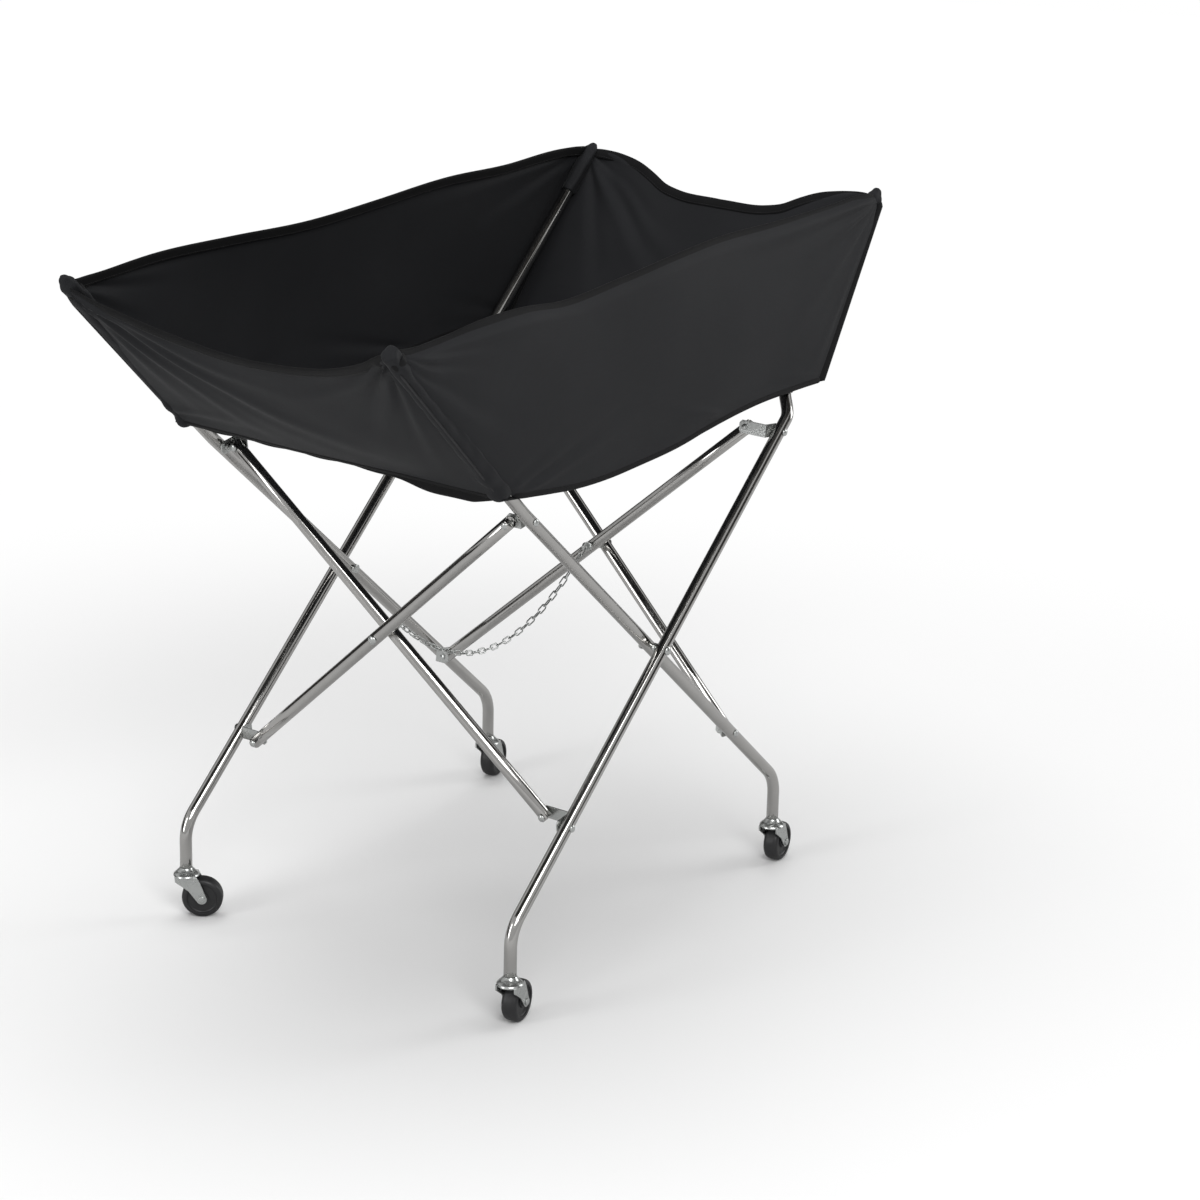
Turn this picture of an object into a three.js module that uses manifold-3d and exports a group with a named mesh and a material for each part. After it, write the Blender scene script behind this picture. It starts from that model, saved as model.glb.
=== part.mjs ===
// Folding ball cart: crossed tube legs, side struts, hammock basket and swivel casters.
// Millimetres, X along the cart, Y from front to back, Z up, origin on the floor under the middle.
import * as THREE from 'three';
import Module from 'manifold-3d';

const wasm = await Module();
wasm.setup();

// Casters, from the floor up
const wheelRadius = 28.6;
const wheelWidth = 22;
const wheelRound = 4;
const hubRadius = 9;
const hubRecess = 2.5;
const treadDepth = 7.6;
const casterTrail = 22;
const axleRadius = 3;
const axleHeadRadius = 5;
const axleHeadHeight = 2;
const forkGap = 1.2;
const forkThickness = 2.2;
const forkEndRadius = 7;
const forkFront = 15;
const wheelToCrown = 2.2;
const crownRadius = 18;
const crownHeight = 6;
const crownPlay = 0.6;
const raceRadius = 12.5;
const raceNeckRadius = 8.6;
const raceHeight = 6.6;
const stemRadius = 5;
const stemLength = 19;
const stemBoreSpare = 3;
const kingPinRadius = 3;
const kingPinHeadRadius = 6;
const kingPinHeadHeight = 1.2;

// Legs
const fitGap = 0.4;
const tubeRadius = 8.5;
const endChamfer = 1.5;
const innerLegHalfSpan = 258;
const spacerLength = 4.2;
const footReach = 327.3;
const footUpright = 38.2;
const footBendRadius = 53;
const upperArm = 361.7;
const lowerArm = 280.3;
const kinkDistance = 20;
const joggleLength = 50;
const joggleInset = 2;
const tipReach = 547;
const tipRise = 514;
const innerTipInset = 1;
const outerTipInset = 12;

// Struts, brackets, rivets and pivots
const strutClear = 1.5;
const outerStrutOffset = 18.2;
const innerStrutOffset = -10.8;
const strutOverhang = 5;
const plateThickness = 2;
const plateHalf = 9;
const plateCorner = 10.4;
const rivetHeadRadius = 5.2;
const rivetHeadHeight = 2.4;
const rivetShankRadius = 2.6;
const rivetTailRadius = 4.2;
const rivetTailHeight = 1.6;
const openPivotGap = 0.6;
const boltHeadRadius = 6.4;
const boltHeadHeight = 3.2;
const boltShankRadius = 3;
const spacerRadius = 6;
const eyeRadius = 6;
const eyeHoleRadius = 3;
const eyePlate = 2.4;
const eyeReach = 13;

// Basket
const clothThickness = 2;
const pocketWall = 1.8;
const pocketLength = 60;
const sleeveFloorGap = 14;
const rimOverTip = 9;
const rimOverhang = 14;
const rimClear = 4.5;
const floorLift = 1;
const floorClear = 3.5;
const floorOverhangLeft = 23.9;
const floorOverhangRight = 66.9;
const endSagDrop = 70;
const endSagInward = 58;
const floorSag = 36;
const frontBulge = 10;
const endBulge = 12;
const bottomDip = 21;

// Chain
const linkLength = 17;
const linkWidth = 9.6;
const linkWire = 2.8;
const linkTouch = 0.3;
const chainDrop = 92;

// Angles, and shares of the lengths above
const legAngle = 41.85;
const sideTilt = 8.07;
const casterHeadings = { front_left: 12, front_right: 9, rear_left: -54.7, rear_right: 13 };
const bottomDipShares = [0.0, 0.55, 0.85, 1.0, 0.95, 0.8, 0.45, 0.1, -0.15, -0.1, 0.0];
const endSagCurve = 2.3;

// Segment counts
const tubeSides = 12;
const smallSides = 12;
const wheelSides = 24;
const bendSteps = 5;
const panelSteps = 12;
const panelRows = 5;

// Plain helpers
const rad = (angle) => THREE.MathUtils.degToRad(angle);
const vec = (x, y, z) => new THREE.Vector3(x, y, z);
const cosLeg = Math.cos(rad(legAngle));
const sinLeg = Math.sin(rad(legAngle));
const cosTilt = Math.cos(rad(sideTilt));
const sinTilt = Math.sin(rad(sideTilt));
const upAxis = vec(0, 0, 1);

// Heights stacked from the floor
const axleHeight = wheelRadius * Math.cos(Math.PI / wheelSides);
const crownBottom = 2 * wheelRadius + wheelToCrown;
const crownTop = crownBottom + crownHeight;
const footBottom = crownTop + raceHeight;
const footBendRise = footBendRadius * Math.tan((Math.PI / 2 - rad(legAngle)) / 2);
const pivotHeight = footBottom + footUpright + footBendRise + (footReach * sinLeg) / cosLeg;
const tipHeight = pivotHeight + tipRise;
const rimHeight = tipHeight + rimOverTip;
const floorHeight = pivotHeight + (upperArm + kinkDistance + joggleLength) * sinLeg + floorLift;

// Distances from the middle, along the cart and across it
const kinkReach = (upperArm + kinkDistance) * cosLeg;
const kinkHeight = pivotHeight + (upperArm + kinkDistance) * sinLeg;
const floorCrossing = (floorHeight - kinkHeight) / (tipHeight - kinkHeight);
const legCrossReach = kinkReach + (tipReach - kinkReach) * floorCrossing;
const floorReachLeft = legCrossReach + floorOverhangLeft;
const floorReachRight = legCrossReach + floorOverhangRight;
const rimReach = tipReach + rimOverhang;
const outerLegHalfSpan = innerLegHalfSpan + 2 * (tubeRadius + fitGap) + spacerLength;
const strutHalfSpan = innerLegHalfSpan - 2 * tubeRadius - fitGap - plateThickness - strutClear;
const innerTipHalfSpan = innerLegHalfSpan - innerTipInset;
const outerTipHalfSpan = innerLegHalfSpan - outerTipInset;
const floorHalfWidth = innerLegHalfSpan + tubeRadius + floorClear;
const rimHalfWidthLeft = innerTipHalfSpan + tubeRadius + rimClear;
const rimHalfWidthRight = outerTipHalfSpan + tubeRadius + rimClear;

// Indexed geometry turned outward
function body(points, faces) {
  let volume = 0;
  for (const [a, b, c] of faces) {
    volume += points[a].dot(points[b].clone().cross(points[c]));
  }
  const ordered = volume < 0 ? faces.map(([a, b, c]) => [a, c, b]) : faces;
  const geometry = new THREE.BufferGeometry();
  const numbers = points.flatMap((point) => point.toArray());
  geometry.setAttribute('position', new THREE.Float32BufferAttribute(numbers, 3));
  geometry.setIndex(ordered.flat());
  return geometry;
}

// Stack of equal rings closed by flat ends, or by itself when looped
function ringBody(rings, looped = false) {
  const count = rings[0].length;
  const points = rings.flat();
  const faces = [];
  const last = looped ? rings.length : rings.length - 1;
  for (let r = 0; r < last; r += 1) {
    const next = (r + 1) % rings.length;
    for (let k = 0; k < count; k += 1) {
      const m = (k + 1) % count;
      faces.push([r * count + k, r * count + m, next * count + m]);
      faces.push([r * count + k, next * count + m, next * count + k]);
    }
  }
  if (!looped) {
    const end = (rings.length - 1) * count;
    for (let k = 1; k < count - 1; k += 1) {
      faces.push([0, k + 1, k]);
      faces.push([end, end + k, end + k + 1]);
    }
  }
  return body(points, faces);
}

// Round section carried along a path without twist
function sweep(path, radii, sides) {
  const rings = [];
  let across = null;
  path.forEach((point, i) => {
    const before = path[Math.max(i - 1, 0)];
    const after = path[Math.min(i + 1, path.length - 1)];
    const along = after.clone().sub(before).normalize();
    if (!across) {
      across = Math.abs(along.y) > cosTilt ? vec(1, 0, 0) : vec(0, 1, 0);
    }
    across = across.clone().addScaledVector(along, -across.dot(along)).normalize();
    const third = along.clone().cross(across);
    const ring = [];
    for (let k = 0; k < sides; k += 1) {
      const turn = (2 * Math.PI * (k + 1 / 2)) / sides;
      const spot = point.clone().addScaledVector(across, radii[i] * Math.cos(turn));
      ring.push(spot.addScaledVector(third, radii[i] * Math.sin(turn)));
    }
    rings.push(ring);
  });
  return ringBody(rings);
}

// Straight rod between two points
function rod(start, end, radius, sides) {
  return sweep([start, end], [radius, radius], sides);
}

// Rings about Z from pairs of height and radius
function turnedRings(steps, sides) {
  return steps.map(([height, radius]) => {
    const ring = [];
    for (let k = 0; k < sides; k += 1) {
      const turn = (2 * Math.PI * (k + 1 / 2)) / sides;
      ring.push(vec(radius * Math.cos(turn), radius * Math.sin(turn), height));
    }
    return ring;
  });
}

// Stepped pin about Z
function pin(steps, sides) {
  return ringBody(turnedRings(steps, sides));
}

// Closed ring about Z from a looped profile
function turnedRing(profile, sides) {
  return ringBody(turnedRings(profile, sides), true);
}

// Flat plate from an outline in two axes, thickened by a push
function plate(outline, origin, axisA, axisB, push) {
  const flat = outline.map(([a, b]) => new THREE.Vector2(a, b));
  const triangles = THREE.ShapeUtils.triangulateShape(flat, []);
  const lower = outline.map(([a, b]) => (
    origin.clone().addScaledVector(axisA, a).addScaledVector(axisB, b)
  ));
  const upper = lower.map((point) => point.clone().add(push));
  const count = outline.length;
  const clockwise = THREE.ShapeUtils.isClockWise(flat);
  const faces = [];
  for (const [a, b, c] of triangles) {
    faces.push([a, c, b]);
    faces.push([a + count, b + count, c + count]);
  }
  for (let k = 0; k < count; k += 1) {
    const m = (k + 1) % count;
    const [from, to] = clockwise ? [m, k] : [k, m];
    faces.push([from, to, to + count]);
    faces.push([from, to + count, from + count]);
  }
  return body([...lower, ...upper], faces);
}

// Thin sheet with its second face pushed along a direction per point
function sheet(grid, pushes) {
  const rows = grid.length;
  const columns = grid[0].length;
  const front = grid.flat();
  const back = grid.flatMap((line, r) => line.map((point, c) => point.clone().add(pushes(r, c))));
  const points = [...front, ...back];
  const shift = front.length;
  const faces = [];
  for (let r = 0; r < rows - 1; r += 1) {
    for (let c = 0; c < columns - 1; c += 1) {
      const a = r * columns + c;
      const b = a + 1;
      const d = a + columns;
      const e = d + 1;
      faces.push([a, b, e], [a, e, d]);
      faces.push([a + shift, e + shift, b + shift], [a + shift, d + shift, e + shift]);
    }
  }
  const rim = [];
  const lastRow = rows - 1;
  const lastColumn = columns - 1;
  for (let c = 0; c < lastColumn; c += 1) rim.push(c);
  for (let r = 0; r < lastRow; r += 1) rim.push(r * columns + lastColumn);
  for (let c = lastColumn; c > 0; c -= 1) rim.push(lastRow * columns + c);
  for (let r = lastRow; r > 0; r -= 1) rim.push(r * columns);
  rim.forEach((a, k) => {
    const b = rim[(k + 1) % rim.length];
    faces.push([a, a + shift, b + shift], [a, b + shift, b]);
  });
  return body(points, faces);
}

// Joins and cuts
function toSolid(geometry) {
  const mesh = new wasm.Mesh({
    numProp: 3,
    vertProperties: new Float32Array(geometry.attributes.position.array),
    triVerts: new Uint32Array(geometry.index.array),
  });
  return new wasm.Manifold(mesh);
}

function toGeometry(solid) {
  const mesh = solid.getMesh();
  const geometry = new THREE.BufferGeometry();
  const numbers = new Float32Array(mesh.vertProperties);
  geometry.setAttribute('position', new THREE.BufferAttribute(numbers, 3));
  geometry.setIndex(new THREE.BufferAttribute(new Uint32Array(mesh.triVerts), 1));
  return geometry;
}

function joined(parts) {
  return toGeometry(parts.map(toSolid).reduce((sum, item) => sum.add(item)));
}

function common(parts) {
  return toGeometry(parts.map(toSolid).reduce((sum, item) => sum.intersect(item)));
}

function cut(part, tools) {
  return toGeometry(tools.map(toSolid).reduce((rest, tool) => rest.subtract(tool), toSolid(part)));
}

// Finishes
function finish(colour, roughness, metalness) {
  return new THREE.MeshStandardMaterial({ color: colour, roughness, metalness });
}
const chrome = finish(0xc8c9cb, 0.15, 1);
const zinc = finish(0xb4b6b6, 0.35, 0.9);
const rubber = finish(0x161617, 0.55, 0);
const cloth = finish(0x2b2b2e, 0.85, 0);

const cart = new THREE.Group();
cart.name = 'ball_cart';

// Named group at a place
function groupAt(name, place, parent = cart) {
  const group = new THREE.Group();
  group.name = name;
  group.position.copy(place);
  parent.add(group);
  return group;
}

// Named mesh in a group, at a place, with its own Z along an axis
function add(name, geometry, material, parent = cart, place = null, axis = upAxis) {
  const facets = geometry.toNonIndexed();
  facets.computeVertexNormals();
  const mesh = new THREE.Mesh(facets, material);
  mesh.name = name;
  if (place) mesh.position.copy(place);
  mesh.quaternion.setFromUnitVectors(upAxis, axis);
  parent.add(mesh);
  return mesh;
}

// Legs: sign of the top in X, distance of the foot and of the tip from the middle in Y
const legs = {
  frontInner: { name: 'leg_front_inner', top: -1, row: -innerLegHalfSpan, tipRow: -innerTipHalfSpan },
  frontOuter: { name: 'leg_front_outer', top: 1, row: -outerLegHalfSpan, tipRow: -outerTipHalfSpan },
  rearInner: { name: 'leg_rear_inner', top: -1, row: innerLegHalfSpan, tipRow: innerTipHalfSpan },
  rearOuter: { name: 'leg_rear_outer', top: 1, row: outerLegHalfSpan, tipRow: outerTipHalfSpan },
};

// Brackets: signs in X and Y, upper or lower, the leg and strut tied, and whether the leg rivet goes through
const bracketTable = [
  ['front_left_upper', -1, -1, 1, legs.frontInner, 'left_outer', true],
  ['rear_left_upper', -1, 1, 1, legs.rearInner, 'left_inner', true],
  ['front_right_upper', 1, -1, 1, legs.frontOuter, 'right_inner', true],
  ['rear_right_upper', 1, 1, 1, legs.rearOuter, 'right_outer', false],
  ['front_left_lower', -1, -1, -1, legs.frontOuter, 'left_inner', false],
  ['rear_left_lower', -1, 1, -1, legs.rearOuter, 'left_outer', false],
  ['front_right_lower', 1, -1, -1, legs.frontInner, 'right_outer', false],
  ['rear_right_lower', 1, 1, -1, legs.rearInner, 'right_inner', false],
];
const corners = bracketTable.map(([name, x, y, level, leg, strut, through]) => (
  { name, x, y, level, leg, strut, through }
));

// Frame of a side crossing: outward, along Y, and up the leaning plane
function sideFrame(corner) {
  const arm = corner.level > 0 ? upperArm : lowerArm;
  const centre = vec(corner.x * arm * cosLeg, 0, pivotHeight + corner.level * arm * sinLeg);
  const out = vec(corner.x * cosTilt, 0, -sinTilt);
  const rise = vec(corner.x * sinTilt, 0, cosTilt);
  const offset = corner.strut.endsWith('outer') ? outerStrutOffset : innerStrutOffset;
  return { centre, out, rise, offset };
}

function strutRivetPoint(corner) {
  const { centre, out, offset } = sideFrame(corner);
  return centre.clone().addScaledVector(out, offset).setY(corner.y * strutHalfSpan);
}

// Middle line of a leg: foot, bend, straight run, step inwards above the bracket, and tip
function legPath(leg) {
  const foot = -leg.top;
  const turn = Math.PI / 2 - rad(legAngle);
  const path = [vec(foot * footReach, leg.row, footBottom)];
  const bendCentre = vec(foot * (footReach - footBendRadius), leg.row, footBottom + footUpright);
  for (let k = 0; k <= bendSteps; k += 1) {
    const angle = (turn * k) / bendSteps;
    path.push(vec(
      bendCentre.x + foot * footBendRadius * Math.cos(angle),
      leg.row,
      bendCentre.z + footBendRadius * Math.sin(angle),
    ));
  }
  const start = vec(leg.top * kinkReach, leg.row, kinkHeight);
  const tip = vec(leg.top * tipReach, leg.tipRow, tipHeight);
  const span = Math.hypot(tip.x - start.x, tip.z - start.z);
  path.push(start);
  if (Math.abs(leg.row) > innerLegHalfSpan) {
    const landed = Math.sign(leg.row) * (innerLegHalfSpan - joggleInset);
    for (let k = 1; k <= bendSteps; k += 1) {
      const part = k / bendSteps;
      const eased = part * part * (3 - 2 * part);
      const spot = start.clone().lerp(tip, (joggleLength * part) / span);
      path.push(spot.setY(leg.row + (landed - leg.row) * eased));
    }
  }
  path.push(tip);
  return path;
}

// Legs, each set at its crossing bolt
for (const leg of Object.values(legs)) {
  const origin = vec(0, leg.row, pivotHeight);
  const path = legPath(leg).map((point) => point.sub(origin));
  const first = path[0].clone().addScaledVector(upAxis, endChamfer);
  const tip = path[path.length - 1];
  const lean = tip.clone().sub(path[path.length - 2]).normalize();
  const beforeTip = tip.clone().addScaledVector(lean, -endChamfer);
  const full = [path[0], first, ...path.slice(1, -1), beforeTip, tip];
  const slim = tubeRadius - endChamfer;
  const radii = full.map((point, i) => (i === 0 || i === full.length - 1 ? slim : tubeRadius));
  const tools = [rod(
    path[0].clone().addScaledVector(upAxis, -tubeRadius),
    path[0].clone().addScaledVector(upAxis, stemLength + stemBoreSpare),
    stemRadius + fitGap,
    smallSides,
  )];
  const reach = vec(0, 2 * tubeRadius, 0);
  for (const corner of corners.filter((item) => item.leg === leg)) {
    const spot = sideFrame(corner).centre.setY(leg.row).sub(origin);
    tools.push(rod(spot.clone().sub(reach), spot.clone().add(reach), rivetShankRadius + fitGap, smallSides));
  }
  tools.push(rod(reach.clone().negate(), reach, boltShankRadius + fitGap, smallSides));
  add(leg.name, cut(sweep(full, radii, tubeSides), tools), chrome, cart, origin);
}

// Struts between the brackets of a side, each set at its lower rivet with its length along its own Z
const strutNames = ['left_inner', 'left_outer', 'right_inner', 'right_outer'];
const strutMiddles = {};
for (const name of strutNames) {
  const ends = corners.filter((corner) => corner.strut === name);
  const [upper, lower] = ends[0].level > 0 ? ends : [ends[1], ends[0]];
  const top = strutRivetPoint(upper);
  const foot = strutRivetPoint(lower);
  const along = top.clone().sub(foot).normalize();
  const length = top.distanceTo(foot);
  const stops = [
    -strutOverhang,
    -strutOverhang + endChamfer,
    length + strutOverhang - endChamfer,
    length + strutOverhang,
  ];
  const slim = tubeRadius - endChamfer;
  const across = sideFrame(upper).out.multiplyScalar(2 * tubeRadius);
  const turned = new THREE.Quaternion().setFromUnitVectors(along, upAxis);
  across.applyQuaternion(turned);
  const holeAt = (distance, radius) => {
    const spot = vec(0, 0, distance);
    return rod(spot.clone().sub(across), spot.clone().add(across), radius + fitGap, smallSides);
  };
  const tools = [
    holeAt(0, rivetShankRadius),
    holeAt(length, rivetShankRadius),
    holeAt(length / 2, boltShankRadius),
  ];
  const line = stops.map((distance) => vec(0, 0, distance));
  const tube = sweep(line, [slim, tubeRadius, tubeRadius, slim], tubeSides);
  strutMiddles[name] = top.clone().lerp(foot, 1 / 2);
  add(`strut_${name}`, cut(tube, tools), chrome, cart, foot, along);
}

// Outline that rounds a flap about its rivet and runs straight past the bend
function flapOutline(rivet, bend) {
  const way = Math.sign(bend - rivet);
  const past = bend + way * 2 * plateThickness;
  const outline = [[past, -plateCorner], [past, plateCorner]];
  const steps = smallSides / 2;
  for (let k = 0; k <= steps; k += 1) {
    const angle = Math.PI / 2 + (Math.PI * k) / steps;
    outline.push([rivet + way * plateCorner * Math.cos(angle), plateCorner * Math.sin(angle)]);
  }
  return outline;
}

// Steps of a rivet from its head to the near end of its shank
const rivetLead = -tubeRadius - fitGap;
const rivetHeadSteps = [
  [rivetLead - rivetHeadHeight, rivetHeadRadius - endChamfer],
  [rivetLead - rivetHeadHeight + endChamfer, rivetHeadRadius],
  [rivetLead, rivetHeadRadius],
  [rivetLead, rivetShankRadius],
];
const tubeFace = tubeRadius + fitGap;
const tailStart = tubeFace + plateThickness + fitGap;
const closedRivet = pin([
  ...rivetHeadSteps,
  [tailStart, rivetShankRadius],
  [tailStart, rivetTailRadius],
  [tailStart + rivetTailHeight, rivetTailRadius - fitGap],
], smallSides);
const openRivet = pin([...rivetHeadSteps, [tubeFace - openPivotGap, rivetShankRadius]], smallSides);

// Brackets with their two rivets, each group set where its crossing plane meets the middle
for (const corner of corners) {
  const { centre, out, rise, offset } = sideFrame(corner);
  const group = groupAt(`corner_${corner.name}`, centre);
  const side = vec(0, corner.y, 0);
  const inward = side.clone().negate();
  const legFace = Math.abs(corner.leg.row) - tubeFace;
  const strutFace = offset - tubeFace;
  const strutSide = strutFace > 0 ? strutFace : strutFace - plateThickness;
  const strutBack = strutFace > 0 ? strutFace - plateThickness : strutFace;
  const freeEnd = -Math.sign(strutSide) * plateHalf;
  const flapBack = legFace - plateThickness;
  const angleOutline = [
    [freeEnd, legFace],
    [strutSide, legFace],
    [strutSide, strutHalfSpan - plateHalf],
    [strutBack, strutHalfSpan - plateHalf],
    [strutBack, flapBack],
    [freeEnd, flapBack],
  ];
  const width = rise.clone().multiplyScalar(2 * plateHalf);
  const angle = plate(angleOutline, rise.clone().multiplyScalar(-plateHalf), out, side, width);
  const legOutline = plate(
    flapOutline(0, strutSide),
    side.clone().multiplyScalar(strutHalfSpan - 2 * plateHalf),
    out,
    rise,
    side.clone().multiplyScalar(4 * plateHalf + outerLegHalfSpan - strutHalfSpan),
  );
  const strutOutline = plate(
    flapOutline(strutHalfSpan, legFace),
    out.clone().multiplyScalar(-4 * plateHalf),
    side,
    rise,
    out.clone().multiplyScalar(8 * plateHalf),
  );
  const bracketParts = [common([angle, legOutline, strutOutline])];
  const legRivet = vec(0, corner.leg.row, 0);
  const strutRivet = out.clone().multiplyScalar(offset).setY(corner.y * strutHalfSpan);
  const hole = rivetShankRadius + fitGap;
  const tools = [rod(strutRivet, strutRivet.clone().addScaledVector(out, -2 * tubeRadius), hole, smallSides)];
  if (corner.through) {
    tools.push(rod(legRivet, legRivet.clone().addScaledVector(inward, 2 * tubeRadius), hole, smallSides));
  } else {
    const boss = pin([
      [tubeFace + plateThickness / 2, rivetTailRadius],
      [tubeFace + plateThickness + rivetTailHeight, rivetTailRadius - fitGap],
    ], smallSides);
    const turn = new THREE.Quaternion().setFromUnitVectors(upAxis, inward);
    boss.applyQuaternion(turn);
    boss.translate(0, corner.leg.row, 0);
    bracketParts.push(boss);
  }
  add(`bracket_${corner.name}`, cut(joined(bracketParts), tools), zinc, group);
  const legRivetForm = corner.through ? closedRivet : openRivet;
  add(`leg_rivet_${corner.name}`, legRivetForm, zinc, group, legRivet, inward);
  add(`strut_rivet_${corner.name}`, closedRivet, zinc, group, strutRivet, out.clone().negate());
}

// Bolt with a spacer between two tubes whose middle lines are a distance apart
function boltSteps(far) {
  return [
    [-tubeFace - boltHeadHeight, boltHeadRadius - endChamfer],
    [-tubeFace - boltHeadHeight + endChamfer, boltHeadRadius],
    [-tubeFace, boltHeadRadius],
    [-tubeFace, boltShankRadius],
    [tubeFace, boltShankRadius],
    [tubeFace, spacerRadius],
    [far - tubeFace, spacerRadius],
    [far - tubeFace, boltShankRadius],
    [far + tubeFace, boltShankRadius],
    [far + tubeFace, boltHeadRadius],
    [far + tubeFace + boltHeadHeight, boltHeadRadius],
  ];
}

// Pivot bolts of the leg crossings
for (const [name, side] of [['front', -1], ['rear', 1]]) {
  const bolt = pin(boltSteps(outerLegHalfSpan - innerLegHalfSpan), smallSides);
  add(`pivot_${name}`, bolt, zinc, cart, vec(0, side * outerLegHalfSpan, pivotHeight), vec(0, -side, 0));
}

// Pivot bolts of the strut crossings, each with an eye for the chain
const eyes = {};
for (const name of ['left', 'right']) {
  const outerPoint = strutMiddles[`${name}_outer`];
  const innerPoint = strutMiddles[`${name}_inner`];
  const inward = innerPoint.clone().sub(outerPoint).normalize();
  const far = innerPoint.distanceTo(outerPoint);
  const stem = far + tubeFace + boltHeadHeight;
  const start = stem - boltHeadHeight / 2;
  const eyeCentre = stem + eyeReach - eyeRadius;
  const outline = [];
  for (let k = 0; k <= smallSides / 2; k += 1) {
    const angle = -Math.PI / 2 + (Math.PI * k) / (smallSides / 2);
    outline.push([eyeCentre + eyeRadius * Math.cos(angle), eyeRadius * Math.sin(angle)]);
  }
  outline.push([start, eyeRadius / 2], [start, -eyeRadius / 2]);
  const across = vec(1, 0, 0);
  const flat = vec(0, 1, 0);
  const tab = plate(outline, vec(0, -eyePlate / 2, 0), upAxis, across, vec(0, eyePlate, 0));
  const hole = rod(
    vec(0, 0, eyeCentre).addScaledVector(flat, -2 * eyePlate),
    vec(0, 0, eyeCentre).addScaledVector(flat, 2 * eyePlate),
    eyeHoleRadius,
    smallSides,
  );
  const bolt = pin(boltSteps(far), smallSides);
  eyes[name] = outerPoint.clone().addScaledVector(inward, eyeCentre);
  add(`pivot_${name}`, cut(joined([bolt, tab]), [hole]), zinc, cart, outerPoint, inward);
}

// Caster forms in the caster's own frame: Z up the king pin, X towards the wheel
const halfGap = wheelWidth / 2 + forkGap;
const pinBottom = crownBottom - fitGap - kingPinHeadHeight;
const stemForm = pin([
  [pinBottom, kingPinHeadRadius],
  [pinBottom + kingPinHeadHeight, kingPinHeadRadius],
  [pinBottom + kingPinHeadHeight, kingPinRadius],
  [crownTop + fitGap, kingPinRadius],
  [crownTop + fitGap, raceRadius],
  [crownTop + fitGap + kingPinHeadHeight, raceRadius],
  [footBottom - 2 * fitGap, raceNeckRadius],
  [footBottom - fitGap, raceNeckRadius],
  [footBottom - fitGap, stemRadius],
  [footBottom + stemLength, stemRadius],
], tubeSides);
const crownBore = kingPinRadius + crownPlay;
const crown = turnedRing([
  [crownBottom, crownBore],
  [crownTop, crownBore],
  [crownTop, raceRadius],
  [crownBottom + crownHeight / 2, crownRadius],
  [crownBottom, crownRadius],
], wheelSides);
const cheekOutline = [
  [-forkFront, crownBottom + forkThickness],
  [forkFront, crownBottom + forkThickness],
  [casterTrail + forkEndRadius, axleHeight],
];
for (let k = 1; k <= bendSteps; k += 1) {
  const angle = (-Math.PI * 3 * k) / (4 * bendSteps);
  cheekOutline.push([
    casterTrail + forkEndRadius * Math.cos(angle),
    axleHeight + forkEndRadius * Math.sin(angle),
  ]);
}
cheekOutline.push([-forkFront, crownBottom - forkEndRadius]);
const cheeks = [-1, 1].map((side) => plate(
  cheekOutline,
  vec(0, side * halfGap, 0),
  vec(1, 0, 0),
  upAxis,
  vec(0, side * forkThickness, 0),
));
const axleHole = rod(
  vec(casterTrail, -2 * wheelWidth, axleHeight),
  vec(casterTrail, 2 * wheelWidth, axleHeight),
  axleRadius + fitGap,
  smallSides,
);
const forkForm = cut(joined([crown, ...cheeks]), [axleHole]);
const cheekFace = halfGap + forkThickness + fitGap;
const axleForm = pin([
  [-cheekFace - axleHeadHeight, axleHeadRadius],
  [-cheekFace, axleHeadRadius],
  [-cheekFace, axleRadius],
  [cheekFace, axleRadius],
  [cheekFace, axleHeadRadius],
  [cheekFace + axleHeadHeight, axleHeadRadius],
], smallSides);
const half = wheelWidth / 2;
const rimRadius = wheelRadius - treadDepth;
const wheelForm = turnedRing([
  [-half, axleRadius + fitGap],
  [-half, hubRadius],
  [-half + hubRecess, hubRadius],
  [-half + hubRecess, rimRadius],
  [-half, rimRadius],
  [-half, wheelRadius - wheelRound],
  [-half + wheelRound, wheelRadius],
  [half - wheelRound, wheelRadius],
  [half, wheelRadius - wheelRound],
  [half, rimRadius],
  [half - hubRecess, rimRadius],
  [half - hubRecess, hubRadius],
  [half, hubRadius],
  [half, axleRadius + fitGap],
], wheelSides);

// Casters: one group at each foot, turned to its heading, with the wheel and axle in a group of their own
const feet = [
  { name: 'front_left', x: -footReach, y: -outerLegHalfSpan },
  { name: 'front_right', x: footReach, y: -innerLegHalfSpan },
  { name: 'rear_left', x: -footReach, y: outerLegHalfSpan },
  { name: 'rear_right', x: footReach, y: innerLegHalfSpan },
];
const acrossAxis = vec(0, 1, 0);
for (const foot of feet) {
  const caster = groupAt(`caster_${foot.name}`, vec(foot.x, foot.y, 0));
  caster.rotation.z = rad(casterHeadings[foot.name]);
  add(`caster_stem_${foot.name}`, stemForm, zinc, caster);
  add(`caster_fork_${foot.name}`, forkForm, zinc, caster);
  const axle = groupAt(`caster_axle_group_${foot.name}`, vec(casterTrail, 0, axleHeight), caster);
  add(`caster_axle_${foot.name}`, axleForm, zinc, axle, null, acrossAxis);
  add(`caster_wheel_${foot.name}`, wheelForm, rubber, axle, null, acrossAxis);
}

// Basket edges: rims between the tips and bottom edges of the panels
function dipAt(share) {
  const place = share * (bottomDipShares.length - 1);
  const low = Math.min(Math.floor(place), bottomDipShares.length - 2);
  const part = place - low;
  return bottomDip * (bottomDipShares[low] * (1 - part) + bottomDipShares[low + 1] * part);
}

function longRim(side, share) {
  const x = rimReach * (2 * share - 1);
  const y = rimHalfWidthLeft + (rimHalfWidthRight - rimHalfWidthLeft) * share;
  return vec(x, side * y, rimHeight);
}

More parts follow.
